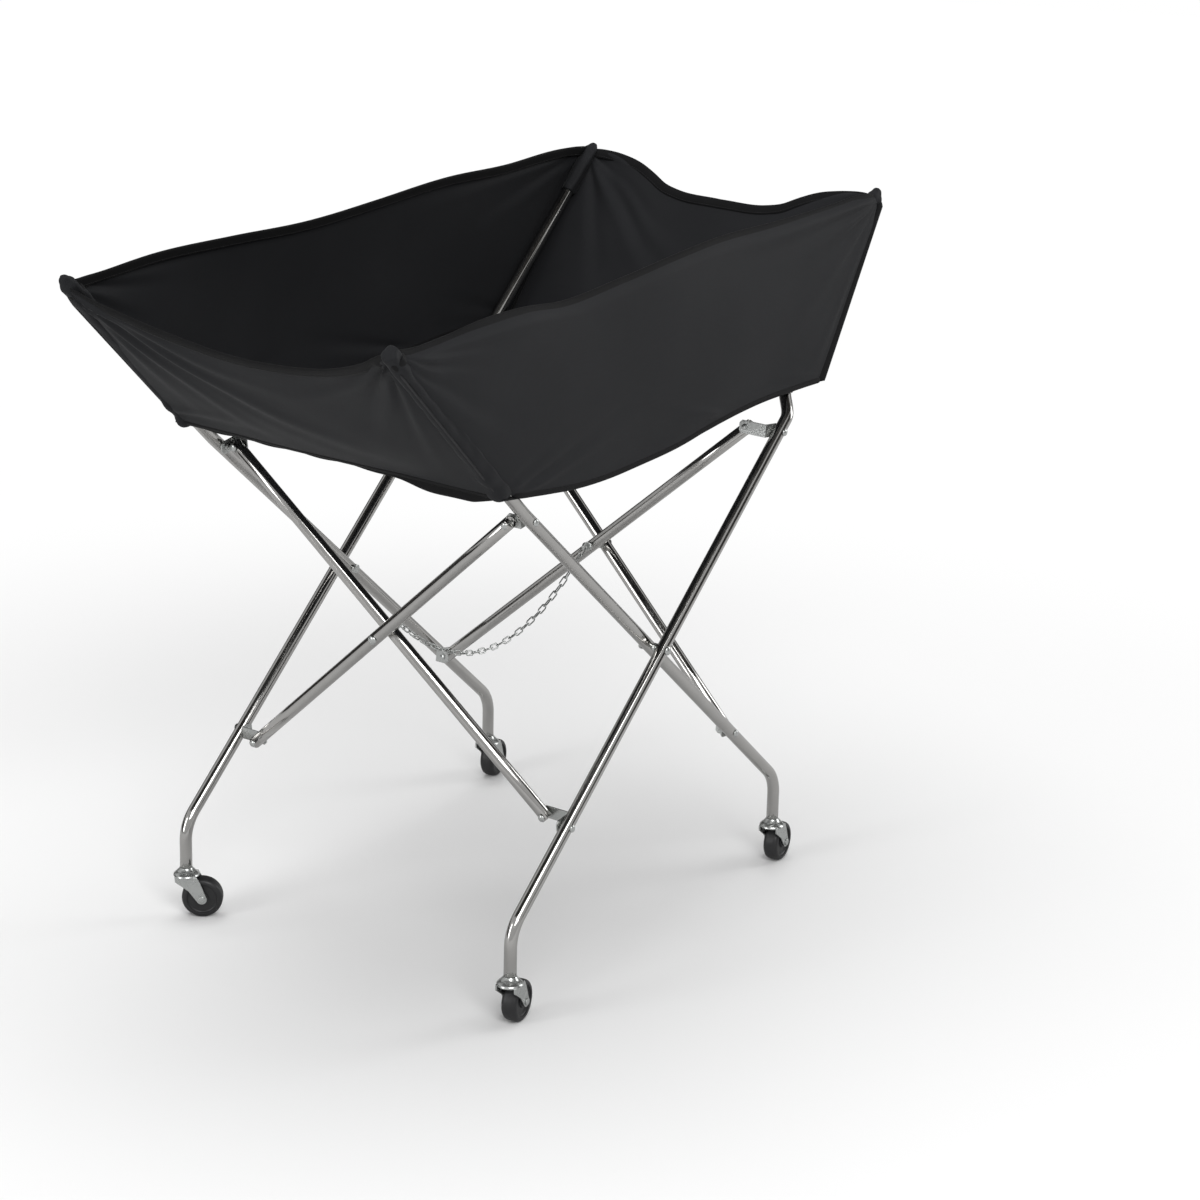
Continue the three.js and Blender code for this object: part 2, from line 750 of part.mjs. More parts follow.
function longFoot(side, share) {
  const x = -floorReachLeft + (floorReachLeft + floorReachRight) * share;
  return vec(x, side * floorHalfWidth, floorHeight - dipAt(share));
}

// Long panels stand outside the legs
for (const [name, side] of [['front', -1], ['rear', 1]]) {
  const grid = [];
  for (let r = 0; r <= panelRows; r += 1) {
    const rise = r / panelRows;
    const line = [];
    for (let c = 0; c <= panelSteps; c += 1) {
      const share = c / panelSteps;
      const spot = longFoot(side, share).lerp(longRim(side, share), rise);
      const swell = frontBulge * Math.sin(Math.PI * share) * Math.sin(Math.PI * rise);
      line.push(spot.add(vec(0, side * swell, 0)));
    }
    grid.push(line);
  }
  add(`basket_${name}`, sheet(grid, () => vec(0, side * clothThickness, 0)), cloth);
}

// End panels lie outside the leg tops: the left one sleeves its legs, the right one has pockets for the tips
for (const [name, side] of [['left', -1], ['right', 1]]) {
  const left = side < 0;
  const tip = vec(side * tipReach, 0, tipHeight);
  const root = vec(side * kinkReach, 0, kinkHeight);
  const along = tip.clone().sub(root).normalize();
  const outward = vec(side * along.z, 0, -Math.abs(along.x));
  const rimMid = tip.clone().addScaledVector(along, pocketWall).addScaledVector(outward, tubeFace);
  const reach = left ? floorReachLeft : floorReachRight;
  const foot = vec(side * reach, 0, floorHeight + fitGap);
  const half = (share) => {
    const top = (left ? rimHalfWidthLeft : rimHalfWidthRight) - fitGap;
    return (floorHalfWidth - fitGap) * (1 - share) + top * share;
  };
  const grid = [];
  for (let r = 0; r <= panelRows; r += 1) {
    const rise = r / panelRows;
    const line = [];
    for (let c = 0; c <= panelSteps; c += 1) {
      const share = (2 * c) / panelSteps - 1;
      const sag = (1 - Math.abs(share) ** endSagCurve) * rise;
      const spot = foot.clone().lerp(rimMid, rise);
      spot.x -= side * endSagInward * sag;
      spot.z -= endSagDrop * sag;
      const swell = endBulge * Math.cos((Math.PI * share) / 2) * Math.sin(Math.PI * rise);
      spot.addScaledVector(outward, swell);
      line.push(spot.setY(share * half(rise)));
    }
    grid.push(line);
  }
  const panel = sheet(grid, () => outward.clone().multiplyScalar(clothThickness));
  const parts = [panel];
  const tools = [];
  for (const leg of Object.values(legs).filter((item) => item.top === side)) {
    const [beforeTip, legTip] = legPath(leg).slice(-2);
    const lean = legTip.clone().sub(beforeTip).normalize();
    const sleeveLength = (tipHeight - floorHeight) / lean.z - sleeveFloorGap;
    const pocketEnd = legTip.clone().addScaledVector(lean, fitGap + pocketWall);
    const pocketStart = legTip.clone().addScaledVector(lean, left ? -sleeveLength : -pocketLength);
    parts.push(rod(pocketStart, pocketEnd, tubeFace + pocketWall, tubeSides));
    tools.push(rod(
      pocketStart.clone().addScaledVector(lean, -tubeFace),
      legTip.clone().addScaledVector(lean, fitGap),
      tubeFace,
      tubeSides,
    ));
  }
  add(`basket_${name}`, cut(joined(parts), tools), cloth);
}

// Floor in two leaves, notched round the legs
for (const [name, side] of [['front', -1], ['rear', 1]]) {
  const grid = [];
  for (let r = 0; r <= panelRows; r += 1) {
    const depth = r / panelRows;
    const line = [];
    for (let c = 0; c <= panelSteps; c += 1) {
      const share = c / panelSteps;
      const edge = longFoot(side, share);
      const y = edge.y * depth + side * (fitGap / 2) * (1 - depth);
      const arch = Math.sin(Math.PI * share) * Math.cos((Math.PI * depth) / 2);
      const z = edge.z * depth + floorHeight * (1 - depth) - floorSag * arch - fitGap;
      line.push(vec(edge.x, y, z));
    }
    grid.push(line);
  }
  const leaf = sheet(grid, () => vec(0, 0, -clothThickness));
  const tools = Object.values(legs).filter((leg) => Math.sign(leg.row) === side).map((leg) => {
    const path = legPath(leg);
    return sweep(path, path.map(() => tubeRadius + 2 * fitGap), tubeSides);
  });
  add(`floor_${name}`, cut(leaf, tools), cloth);
}

// Chain of alternating links along a hanging curve between the eyes
const chainEnds = [eyes.left, eyes.right];
function chainPoint(share) {
  const spot = chainEnds[0].clone().lerp(chainEnds[1], share);
  spot.z -= chainDrop * (1 - (2 * share - 1) ** 2);
  return spot;
}
const samples = [];
const sampleCount = 400;
for (let k = 0; k <= sampleCount; k += 1) samples.push(chainPoint(k / sampleCount));
const marks = [0];
for (let k = 1; k <= sampleCount; k += 1) {
  marks.push(marks[k - 1] + samples[k].distanceTo(samples[k - 1]));
}
const chainLength = marks[sampleCount];
const pitch = linkLength - 2 * linkWire + linkTouch;
const linkCount = Math.round(chainLength / pitch / 2) * 2 + 1;
const realPitch = chainLength / linkCount;
function pointAt(distance) {
  let k = 1;
  while (k < sampleCount && marks[k] < distance) k += 1;
  const part = (distance - marks[k - 1]) / (marks[k] - marks[k - 1]);
  return samples[k - 1].clone().lerp(samples[k], part);
}
const links = [];
for (let k = 0; k < linkCount; k += 1) {
  const start = pointAt(k * realPitch);
  const end = pointAt((k + 1) * realPitch);
  const middle = start.clone().lerp(end, 1 / 2);
  const along = end.clone().sub(start).normalize();
  const flat = vec(0, 1, 0);
  const wide = k % 2 === 0 ? flat : along.clone().cross(flat);
  const length = realPitch + linkWire - linkTouch;
  const shape = (scaleLength, scaleWidth) => {
    const straight = (scaleLength - scaleWidth) / 2;
    const outline = [];
    for (const end of [1, -1]) {
      for (let m = 0; m <= 3; m += 1) {
        const angle = -Math.PI / 2 + (Math.PI * m) / 3;
        const bow = (scaleWidth / 2) * Math.cos(angle);
        outline.push([end * (straight + bow), end * (scaleWidth / 2) * Math.sin(angle)]);
      }
    }
    return outline;
  };
  const thin = along.clone().cross(wide);
  const ring = plate(
    shape(length, linkWidth),
    middle.clone().addScaledVector(thin, -linkWire / 2),
    along,
    wide,
    thin.clone().multiplyScalar(linkWire),
  );
  const inner = plate(
    shape(length - 2 * linkWire, linkWidth - 2 * linkWire),
    middle.clone().addScaledVector(thin, -linkWire),
    along,
    wide,
    thin.clone().multiplyScalar(2 * linkWire),
  );
  links.push(cut(ring, [inner]));
}
add('chain', joined(links), zinc);

export default cart;
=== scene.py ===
"""Looks of a folding ball cart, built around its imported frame. Metres, Z up."""

import math

import bmesh
import bpy
import numpy as np
from mathutils import Matrix, Vector


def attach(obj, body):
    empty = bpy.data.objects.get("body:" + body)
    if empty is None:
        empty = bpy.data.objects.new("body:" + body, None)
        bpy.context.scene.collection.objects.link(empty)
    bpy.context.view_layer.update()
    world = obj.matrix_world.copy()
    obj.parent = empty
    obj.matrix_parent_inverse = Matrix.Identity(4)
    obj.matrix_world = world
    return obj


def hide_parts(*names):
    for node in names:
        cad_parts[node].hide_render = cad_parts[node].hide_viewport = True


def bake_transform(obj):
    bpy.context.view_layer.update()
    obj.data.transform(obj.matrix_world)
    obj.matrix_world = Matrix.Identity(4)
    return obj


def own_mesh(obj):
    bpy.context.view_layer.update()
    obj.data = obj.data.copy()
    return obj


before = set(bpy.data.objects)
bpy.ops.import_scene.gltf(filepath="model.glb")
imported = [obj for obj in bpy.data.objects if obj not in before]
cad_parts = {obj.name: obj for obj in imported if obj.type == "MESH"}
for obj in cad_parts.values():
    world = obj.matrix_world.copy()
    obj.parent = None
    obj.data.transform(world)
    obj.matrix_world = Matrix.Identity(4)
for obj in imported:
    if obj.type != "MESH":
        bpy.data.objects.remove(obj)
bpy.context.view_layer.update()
scene = bpy.context.scene
scene.view_settings.view_transform = "Standard"


# Camera: a long lens in front of the left corner, a little above the rim,
# set to the photograph's own viewing angle.
eye = Vector((-3.5458, -2.6837, 1.9835))
yaw = math.radians(35.27)
pitch = math.radians(-18.857)
roll = math.radians(1.342)
forward = Vector((math.cos(pitch) * math.cos(yaw), math.cos(pitch) * math.sin(yaw), math.sin(pitch)))
level_right = Vector((math.sin(yaw), -math.cos(yaw), 0))
level_up = level_right.cross(forward)
right = math.cos(roll) * level_right + math.sin(roll) * level_up
up = math.cos(roll) * level_up - math.sin(roll) * level_right
lens = bpy.data.cameras.new("camera")
lens.sensor_width = 36
lens.lens = 102.76
lens.shift_y = -0.0157
lens.clip_end = 50
camera = bpy.data.objects.new("camera", lens)
camera.matrix_world = Matrix((
    (right.x, up.x, -forward.x, eye.x),
    (right.y, up.y, -forward.y, eye.y),
    (right.z, up.z, -forward.z, eye.z),
    (0, 0, 0, 1),
))
scene.collection.objects.link(camera)
scene.camera = camera


# Legs: four chromed steel tubes, each bent upright at its foot. The outer one of each
# crossing is stepped inwards above its bracket, so that all four tops lie in two planes.
leg_angle = math.radians(41.85)
pivot_height = 0.427
upper_arm = 0.3617
lower_arm = 0.2803
tube_radius = 0.0085
tube_wall = 0.0013
tube_sides = 32
mouth_depth = 0.006
rim_lip = 0.0002
rim_round = 0.0006
inner_row = 0.258
outer_row = 0.280
foot_reach = 0.3273
foot_bottom = 0.072
foot_bend = 0.053
tip_reach = 0.547
tip_height = 0.941
inner_tip_row = 0.257
outer_tip_row = 0.246
kink_distance = 0.020
joggle_length = 0.052
joggle_row = 0.256
legs = {
    f"leg_{row_word}_{kind}": {
        "top": top, "side": side, "row": row, "tip_row": tip_row, "body": f"{row_word}_{kind}_leg",
    }
    for row_word, side in (("front", -1), ("rear", 1))
    for kind, top, row, tip_row in (
        ("inner", -1, inner_row, inner_tip_row), ("outer", 1, outer_row, outer_tip_row),
    )
}


def leg_path(leg, bend_steps=12, joggle_steps=16):
    """Points along a leg's middle line, from the foot to the tip."""
    foot = -leg["top"]
    row = leg["side"] * leg["row"]
    meet = pivot_height - foot_reach * math.tan(leg_angle)
    turn = math.pi / 2 - leg_angle
    bend_z = meet - foot_bend * math.tan(turn / 2)
    points = [Vector((foot * foot_reach, row, foot_bottom))]
    for k in range(bend_steps + 1):
        angle = turn * k / bend_steps
        x = foot * (foot_reach - foot_bend + foot_bend * math.cos(angle))
        points.append(Vector((x, row, bend_z + foot_bend * math.sin(angle))))
    kink = upper_arm + kink_distance
    start = Vector((leg["top"] * kink * math.cos(leg_angle), row, pivot_height + kink * math.sin(leg_angle)))
    tip = Vector((leg["top"] * tip_reach, leg["side"] * leg["tip_row"], tip_height))
    points.append(start)
    if leg["row"] > inner_row:
        span = math.hypot(tip.x - start.x, tip.z - start.z)
        for k in range(1, joggle_steps + 1):
            part = k / joggle_steps
            eased = part * part * (3 - 2 * part)
            spot = start.lerp(tip, joggle_length * part / span)
            spot.y = row + (leg["side"] * joggle_row - row) * eased
            points.append(spot)
    points.append(tip)
    return points


def make_piece(name, verts, faces, material, smooth=True):
    """A mesh object in the shared frame with one material."""
    mesh = bpy.data.meshes.new(name)
    mesh.from_pydata([tuple(v) for v in verts], [], faces)
    mesh.validate()
    mesh.update()
    mesh.materials.append(material)
    if smooth:
        mesh.polygons.foreach_set("use_smooth", [True] * len(mesh.polygons))
    piece = bpy.data.objects.new(name, mesh)
    scene.collection.objects.link(piece)
    return piece


def outward(piece):
    """Points a closed mesh's faces outwards."""
    work = bmesh.new()
    work.from_mesh(piece.data)
    bmesh.ops.recalc_face_normals(work, faces=work.faces)
    work.to_mesh(piece.data)
    work.free()
    return piece


def ring_frames(points):
    """Two directions across the path at each point, carried along without twist."""
    frames = []
    across = None
    for k in range(len(points)):
        along = (points[min(k + 1, len(points) - 1)] - points[max(k - 1, 0)]).normalized()
        if across is None:
            across = Vector((1, 0, 0)) if abs(along.y) > 0.9 else Vector((0, 1, 0))
        across = (across - along * across.dot(along)).normalized()
        frames.append((across, along.cross(across)))
    return frames


def ring_faces(count, sides, looped=False):
    """Faces between rings of points, with a cap on each end unless the last ring meets the first."""
    faces = []
    for r in range(count if looped else count - 1):
        n = (r + 1) % count
        for k in range(sides):
            m = (k + 1) % sides
            faces.append((r * sides + k, r * sides + m, n * sides + m, n * sides + k))
    if not looped:
        faces.append(tuple(range(sides))[::-1])
        faces.append(tuple((count - 1) * sides + k for k in range(sides)))
    return faces


def tube_mesh(name, points, material):
    """A round tube through points, with a rounded rim and a hollow mouth at each end."""
    first = (points[0] - points[1]).normalized()
    last = (points[-1] - points[-2]).normalized()
    path = [
        points[0] - first * mouth_depth, points[0] - first * rim_lip, points[0],
        points[0] - first * rim_round, *points[1:-1], points[-1] - last * rim_round,
        points[-1], points[-1] - last * rim_lip, points[-1] - last * mouth_depth,
    ]
    bore = tube_radius - tube_wall
    size = [bore, bore, tube_radius - tube_wall / 2, tube_radius]
    size = size + [tube_radius] * (len(points) - 2) + size[::-1]
    directions = ring_frames(points)
    directions = [directions[0]] * 4 + directions[1:-1] + [directions[-1]] * 4
    verts = []
    for spot, radius, (across, third) in zip(path, size, directions):
        for k in range(tube_sides):
            turn = 2 * math.pi * k / tube_sides
            verts.append(spot + across * (radius * math.cos(turn)) + third * (radius * math.sin(turn)))
    return outward(make_piece(name, verts, ring_faces(len(path), tube_sides), material))


def new_material(name, colour, roughness, metallic=0.0):
    """A Principled material with its node tree ready for more."""
    material = bpy.data.materials.new(name)
    material.use_nodes = True
    shader = material.node_tree.nodes["Principled BSDF"]
    shader.inputs["Base Color"].default_value = (*colour, 1)
    shader.inputs["Roughness"].default_value = roughness
    shader.inputs["Metallic"].default_value = metallic
    return material, material.node_tree, shader


def open_tree(name, kind, inputs, outputs):
    """A node tree with named sockets. Each input is a label, a kind and perhaps a first value."""
    tree = bpy.data.node_groups.new(name, kind)
    for label, socket, *value in inputs:
        item = tree.interface.new_socket(label, in_out="INPUT", socket_type="NodeSocket" + socket)
        if value:
            item.default_value = value[0]
    for label, socket in outputs:
        tree.interface.new_socket(label, in_out="OUTPUT", socket_type="NodeSocket" + socket)
    return tree, tree.nodes.new("NodeGroupInput"), tree.nodes.new("NodeGroupOutput")


def add_node(tree, kind, values=None, **settings):
    """A node with its settings, and values on its own sockets."""
    node = tree.nodes.new(kind)
    for label, value in settings.items():
        setattr(node, label, value)
    for label, value in (values or {}).items():
        node.inputs[label].default_value = value
    return node


def wire(tree, *joins):
    """Links sockets. Each join is a node, its output, the next node and its input."""
    for start, output, end, entry in joins:
        tree.links.new(start.outputs[output], end.inputs[entry])


def wear_group():
    """Shared fine wear: a drifting roughness and a fine grain height, read in object space."""
    tree, entry, out = open_tree(
        "metal_wear", "ShaderNodeTree",
        [("Low", "Float", 0.1), ("High", "Float", 0.2), ("Drift scale", "Float", 60),
         ("Grain scale", "Float", 900)],
        [("Roughness", "Float"), ("Height", "Float"), ("Mask", "Float")],
    )
    place = add_node(tree, "ShaderNodeTexCoord")
    drift = add_node(tree, "ShaderNodeTexNoise", {"Detail": 6})
    grain = add_node(tree, "ShaderNodeTexNoise", {"Detail": 3})
    spread = add_node(tree, "ShaderNodeMapRange", {"From Min": 0.35, "From Max": 0.65})
    wire(
        tree,
        (place, "Object", drift, "Vector"), (place, "Object", grain, "Vector"),
        (entry, "Drift scale", drift, "Scale"), (entry, "Grain scale", grain, "Scale"),
        (drift, "Fac", spread, "Value"), (entry, "Low", spread, "To Min"), (entry, "High", spread, "To Max"),
        (spread, "Result", out, "Roughness"), (grain, "Fac", out, "Height"), (drift, "Fac", out, "Mask"),
    )
    return tree


def patterned(tree, shader, pattern, mask, bump, depth, shades):
    """Feeds a shader with a pattern's relief and with its drift between two shades."""
    relief = add_node(tree, "ShaderNodeBump", {"Strength": bump, "Distance": depth})
    tone = add_node(tree, "ShaderNodeMix", data_type="RGBA")
    for label, shade in zip("AB", shades):
        tone.inputs[label].default_value = (*shade, 1)
    wire(
        tree,
        (pattern, "Height", relief, "Height"), (relief, "Normal", shader, "Normal"),
        (pattern, mask, tone, "Factor"), (tone, "Result", shader, "Base Color"),
    )


metal_wear = wear_group()
wear_depth = 0.0002


def worn_material(name, metallic, roughness, drift, grain, bump, shades):
    """A finish fed from the shared wear: its roughness, its grain and a slight change of shade."""
    material, tree, shader = new_material(name, shades[0], roughness[0], metallic)
    wear = add_node(tree, "ShaderNodeGroup", node_tree=metal_wear)
    for label, value in zip(("Low", "High", "Drift scale", "Grain scale"), (*roughness, drift, grain)):
        wear.inputs[label].default_value = value
    wire(tree, (wear, "Roughness", shader, "Roughness"))
    patterned(tree, shader, wear, "Mask", bump, wear_depth, shades)
    return material


chrome = worn_material(
    "chrome_tube", metallic=1.0, roughness=(0.08, 0.15), drift=35, grain=700, bump=0.03,
    shades=((0.50, 0.492, 0.478), (0.58, 0.572, 0.557)),
)
for name, leg in legs.items():
    tube = tube_mesh(name + "_tube", leg_path(leg), chrome)
    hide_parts(name)
    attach(tube, leg["body"])


# Side struts: four straight chromed steel tubes that cross in pairs at each end of the cart,
# in planes that lean a little outwards. They are riveted to the brackets near their ends.
side_tilt = math.radians(8.07)
strut_row = 0.2371
strut_offsets = {"outer": 0.0182, "inner": -0.0108}
strut_overhang = 0.005
strut_inset = 0.1
corners = {
    "front_left_upper": (-1, -1, 1, "leg_front_inner", "left_outer"),
    "rear_left_upper": (-1, 1, 1, "leg_rear_inner", "left_inner"),
    "front_right_upper": (1, -1, 1, "leg_front_outer", "right_inner"),
    "rear_right_upper": (1, 1, 1, "leg_rear_outer", "right_outer"),
    "front_left_lower": (-1, -1, -1, "leg_front_outer", "left_inner"),
    "rear_left_lower": (-1, 1, -1, "leg_rear_outer", "left_outer"),
    "front_right_lower": (1, -1, -1, "leg_front_inner", "right_outer"),
    "rear_right_lower": (1, 1, -1, "leg_rear_inner", "right_inner"),
}
struts = ("left_outer", "left_inner", "right_outer", "right_inner")


def side_out(x):
    """Outward direction of a side crossing's plane."""
    return Vector((x * math.cos(side_tilt), 0, -math.sin(side_tilt)))


def corner_point(x, level):
    """Where a leg's bracket rivet crosses the middle plane of the row."""
    arm = upper_arm if level > 0 else lower_arm
    return Vector((x * arm * math.cos(leg_angle), 0, pivot_height + level * arm * math.sin(leg_angle)))


def strut_rivet(corner):
    """Middle of a strut at its bracket rivet."""
    x, y, level, leg, strut = corners[corner]
    spot = corner_point(x, level) + side_out(x) * strut_offsets[strut.split("_")[1]]
    return Vector((spot.x, y * strut_row, spot.z))


strut_middles = {}
for strut in struts:
    low, high = sorted((strut_rivet(c) for c in corners if corners[c][4] == strut), key=lambda p: p.z)
    along = (high - low).normalized()
    strut_middles[strut] = (low + high) / 2
    line = [
        low - along * strut_overhang, low + along * strut_inset,
        high - along * strut_inset, high + along * strut_overhang,
    ]
    tube = tube_mesh("strut_" + strut + "_tube", line, chrome)
    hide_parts("strut_" + strut)
    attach(tube, strut + "_strut")


# Brackets: eight zinc plated steel angles, pressed from 2 mm sheet, that tie a leg to a strut
# with one rivet each way. The press leaves their edges slightly rounded.
plate_edge = 0.0004
weld_distance = 0.00002
flat_angle = math.radians(2)
edge_angle = math.radians(40)
zinc = worn_material(
    "zinc_plate", metallic=0.9, roughness=(0.22, 0.32), drift=60, grain=400, bump=0.03,
    shades=((0.50, 0.515, 0.505), (0.60, 0.615, 0.605)),
)


def rounded_copy(node, name, material):
    """A merged copy of a CAD node with its hard edges rounded over."""
    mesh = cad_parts[node].data.copy()
    mesh.name = name
    work = bmesh.new()
    work.from_mesh(mesh)
    bmesh.ops.remove_doubles(work, verts=work.verts, dist=weld_distance)
    bmesh.ops.dissolve_limit(work, angle_limit=flat_angle, verts=work.verts, edges=work.edges)
    hard = [e for e in work.edges if len(e.link_faces) == 2 and e.calc_face_angle(0) > edge_angle]
    bmesh.ops.bevel(
        work, geom=hard, offset=plate_edge, segments=2, affect="EDGES", profile=0.5, clamp_overlap=True,
    )
    bmesh.ops.triangulate(work, faces=[f for f in work.faces if len(f.verts) > 4])
    bmesh.ops.recalc_face_normals(work, faces=work.faces)
    work.to_mesh(mesh)
    work.free()
    mesh.materials.clear()
    mesh.materials.append(material)
    mesh.polygons.foreach_set("use_smooth", [True] * len(mesh.polygons))
    piece = bpy.data.objects.new(name, mesh)
    scene.collection.objects.link(piece)
    smooth = piece.modifiers.new("edges", "WEIGHTED_NORMAL")
    smooth.keep_sharp = True
    return piece


for corner in corners:
    plate = rounded_copy("bracket_" + corner, "bracket_" + corner + "_plate", zinc)
    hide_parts("bracket_" + corner)
    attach(plate, "bracket_" + corner)


# Rivets: sixteen zinc plated steel rivets with a domed head on the tube and a pressed tail on
# the bracket. Five of those on the legs end within the tube, because their brackets drift a
# little in mid-travel.
head_radius = 0.0052
head_height = 0.0026
shank_radius = 0.0026
tail_radius = 0.0042
tail_height = 0.0017
shank_gap = 0.0002
tail_edge = 0.6
tail_taper = 0.7
dome_start = 0.12
dome_rings = 7
rivet_sides = 24
crease = math.radians(35)
upward = Vector((0, 0, 1))
plate_thickness = 0.002
fit_gap = 0.0004


def turned_mesh(name, profile, origin, axis, sides, material, looped=False):
    """A turned piece from pairs of distance along the axis and radius."""
    axis = axis.normalized()
    helper = Vector((1, 0, 0)) if abs(axis.z) > 0.9 else Vector((0, 0, 1))
    across = (helper - axis * helper.dot(axis)).normalized()
    third = axis.cross(across)
    verts = []
    for distance, radius in profile:
        for k in range(sides):
            turn = 2 * math.pi * (k + 0.5) / sides
            rim = across * (radius * math.cos(turn)) + third * (radius * math.sin(turn))
            verts.append(origin + axis * distance + rim)
    piece = outward(make_piece(name, verts, ring_faces(len(profile), sides, looped), material))
    return soft_edges(piece, crease)


def soft_edges(piece, angle):
    """Smooth shading that keeps edges sharper than the angle."""
    work = bmesh.new()
    work.from_mesh(piece.data)
    for edge in work.edges:
        edge.smooth = edge.calc_face_angle(0) < angle
    work.to_mesh(piece.data)
    work.free()
    return piece


def dome(base, height, radius):
    """Rings of a round head that rises backwards from its base."""
    turns = np.linspace(dome_start, math.pi / 2, dome_rings)
    return [(base - height * math.cos(a), radius * math.sin(a)) for a in turns]


def rivet_profile(reach, headless_end):
    """Head outside the tube, shank through it, and a tail or a plain end."""
    head = -tube_radius - fit_gap
    profile = dome(head, head_height, head_radius) + [(head, head_radius), (head, shank_radius)]
    if headless_end:
        return profile + [(reach, shank_radius)]
    return profile + [
        (reach, shank_radius), (reach, tail_radius), (reach + tail_height * tail_edge, tail_radius),
        (reach + tail_height, tail_radius * tail_taper),
    ]


through_reach = tube_radius + fit_gap + plate_thickness + fit_gap
open_reach = tube_radius - shank_gap
rivet_forms = {
    kind: turned_mesh(
        "rivet_form_" + kind, rivet_profile(reach, kind == "open"), Vector(), upward, rivet_sides, zinc,
    )
    for kind, reach in (("through", through_reach), ("open", open_reach))
}


def placing_tree(name, more_inputs=()):
    """A tree that sets a form on every point, with the node that turns the form's Z to the point's
    axis and the node that places it. Their rotations are still to be joined."""
    tree, entry, out = open_tree(
        name, "GeometryNodeTree",
        [("Geometry", "Geometry"), ("Form", "Object"), ("Finish", "Material"), *more_inputs],
        [("Geometry", "Geometry")],
    )
    form = add_node(tree, "GeometryNodeObjectInfo")
    axis = add_node(tree, "GeometryNodeInputNamedAttribute", {"Name": "axis"}, data_type="FLOAT_VECTOR")
    align = add_node(tree, "FunctionNodeAlignRotationToVector", axis="Z")
    place = add_node(tree, "GeometryNodeInstanceOnPoints")
    real = add_node(tree, "GeometryNodeRealizeInstances")
    paint = add_node(tree, "GeometryNodeSetMaterial")
    wire(
        tree,
        (entry, "Geometry", place, "Points"), (entry, "Form", form, "Object"),
        (form, "Geometry", place, "Instance"), (axis, "Attribute", align, "Vector"),
        (place, "Instances", real, "Geometry"), (real, "Geometry", paint, "Geometry"),
        (entry, "Finish", paint, "Material"), (paint, "Geometry", out, "Geometry"),
    )
    return tree, entry, align, place


set_on_axes, entry, align, place = placing_tree("set_on_axes")
wire(set_on_axes, (align, "Rotation", place, "Rotation"))


def settle(carrier, name, tree, values):
    """Runs a tree on a carrier and leaves its result as a plain mesh object."""
    step = carrier.modifiers.new("tree", "NODES")
    step.node_group = tree
    sockets = {s.name: s.identifier for s in tree.interface.items_tree if s.in_out == "INPUT"}
    for label, value in values.items():
        step[sockets[label]] = value
    bpy.context.view_layer.update()
    graph = bpy.context.evaluated_depsgraph_get()
    mesh = bpy.data.meshes.new_from_object(carrier.evaluated_get(graph))
    mesh.name = name
    piece = bpy.data.objects.new(name, mesh)
    scene.collection.objects.link(piece)
    bpy.data.objects.remove(carrier)
    return piece


def axis_points(name, spots):
    """An object whose points each carry an axis, from pairs of place and axis."""
    mesh = bpy.data.meshes.new(name)
    mesh.from_pydata([tuple(p) for p, a in spots], [], [])
    axes = mesh.attributes.new("axis", "FLOAT_VECTOR", "POINT")
    axes.data.foreach_set("vector", [c for p, a in spots for c in a])
    carrier = bpy.data.objects.new(name, mesh)
    scene.collection.objects.link(carrier)
    return carrier


def set_forms(name, spots, form, material):
    """One mesh with a form at each (point, axis)."""
    carrier = axis_points(name + "_points", spots)
    return settle(carrier, name, set_on_axes, {"Form": form, "Finish": material})


closed_corners = ("front_left_upper", "rear_left_upper", "front_right_upper")
leg_rivets = {name: [] for name in legs}
for corner, (x, y, level, leg, strut) in corners.items():
    spot = corner_point(x, level)
    spot.y = y * legs[leg]["row"]
    leg_rivets[leg].append((corner, spot, Vector((0, -y, 0))))
for leg, rivets in leg_rivets.items():
    for kind, wanted in (("through", True), ("open", False)):
        chosen = [r for r in rivets if (r[0] in closed_corners) == wanted]
        if chosen:
            spots = [(p, a) for c, p, a in chosen]
            piece = set_forms(f"{leg}_rivets_{kind}", spots, rivet_forms[kind], zinc)
            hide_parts(*["leg_rivet_" + c for c, p, a in chosen])
            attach(piece, legs[leg]["body"])
for corner, (x, y, level, leg, strut) in corners.items():
    spots = [(strut_rivet(corner), -side_out(x))]
    piece = set_forms(f"strut_rivet_{corner}_set", spots, rivet_forms["through"], zinc)
    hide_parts("strut_rivet_" + corner)
    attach(piece, "bracket_" + corner)
for form in rivet_forms.values():
    bpy.data.objects.remove(form)


# Pivot bolts: a zinc plated, round-headed steel bolt through each crossing, with a spacer
# between the tubes and a nut. The two side ones end in a flat eye that carries the chain.
bolt_head_radius = 0.0064
bolt_head_height = 0.0034
bolt_radius = 0.003
spacer_radius = 0.006
eye_radius = 0.006
eye_hole_radius = 0.003
eye_plate = 0.0024
eye_reach = 0.013
eye_steps = 24
eye_sink = 0.001
eye_neck = 0.7
nut_chamfer = 0.0005
nut_taper = 0.8
bolt_sides = 32


def bolt_profile(far):
    """Domed head, shank, spacer between the two tubes and a nut."""
    lead = tube_radius + fit_gap
    nut = far + lead + bolt_head_height
    return dome(-lead, bolt_head_height, bolt_head_radius) + [
        (-lead, bolt_head_radius), (-lead, bolt_radius), (lead, bolt_radius), (lead, spacer_radius),
        (far - lead, spacer_radius), (far - lead, bolt_radius), (far + lead, bolt_radius),
        (far + lead, bolt_head_radius), (nut, bolt_head_radius),
        (nut + nut_chamfer, bolt_head_radius * nut_taper),
    ]


def pivot_bolt(word, origin, axis, far):
    """A bolt along an axis through two tubes that lie a distance apart."""
    return turned_mesh(f"pivot_{word}_bolt", bolt_profile(far), origin, axis, bolt_sides, zinc)


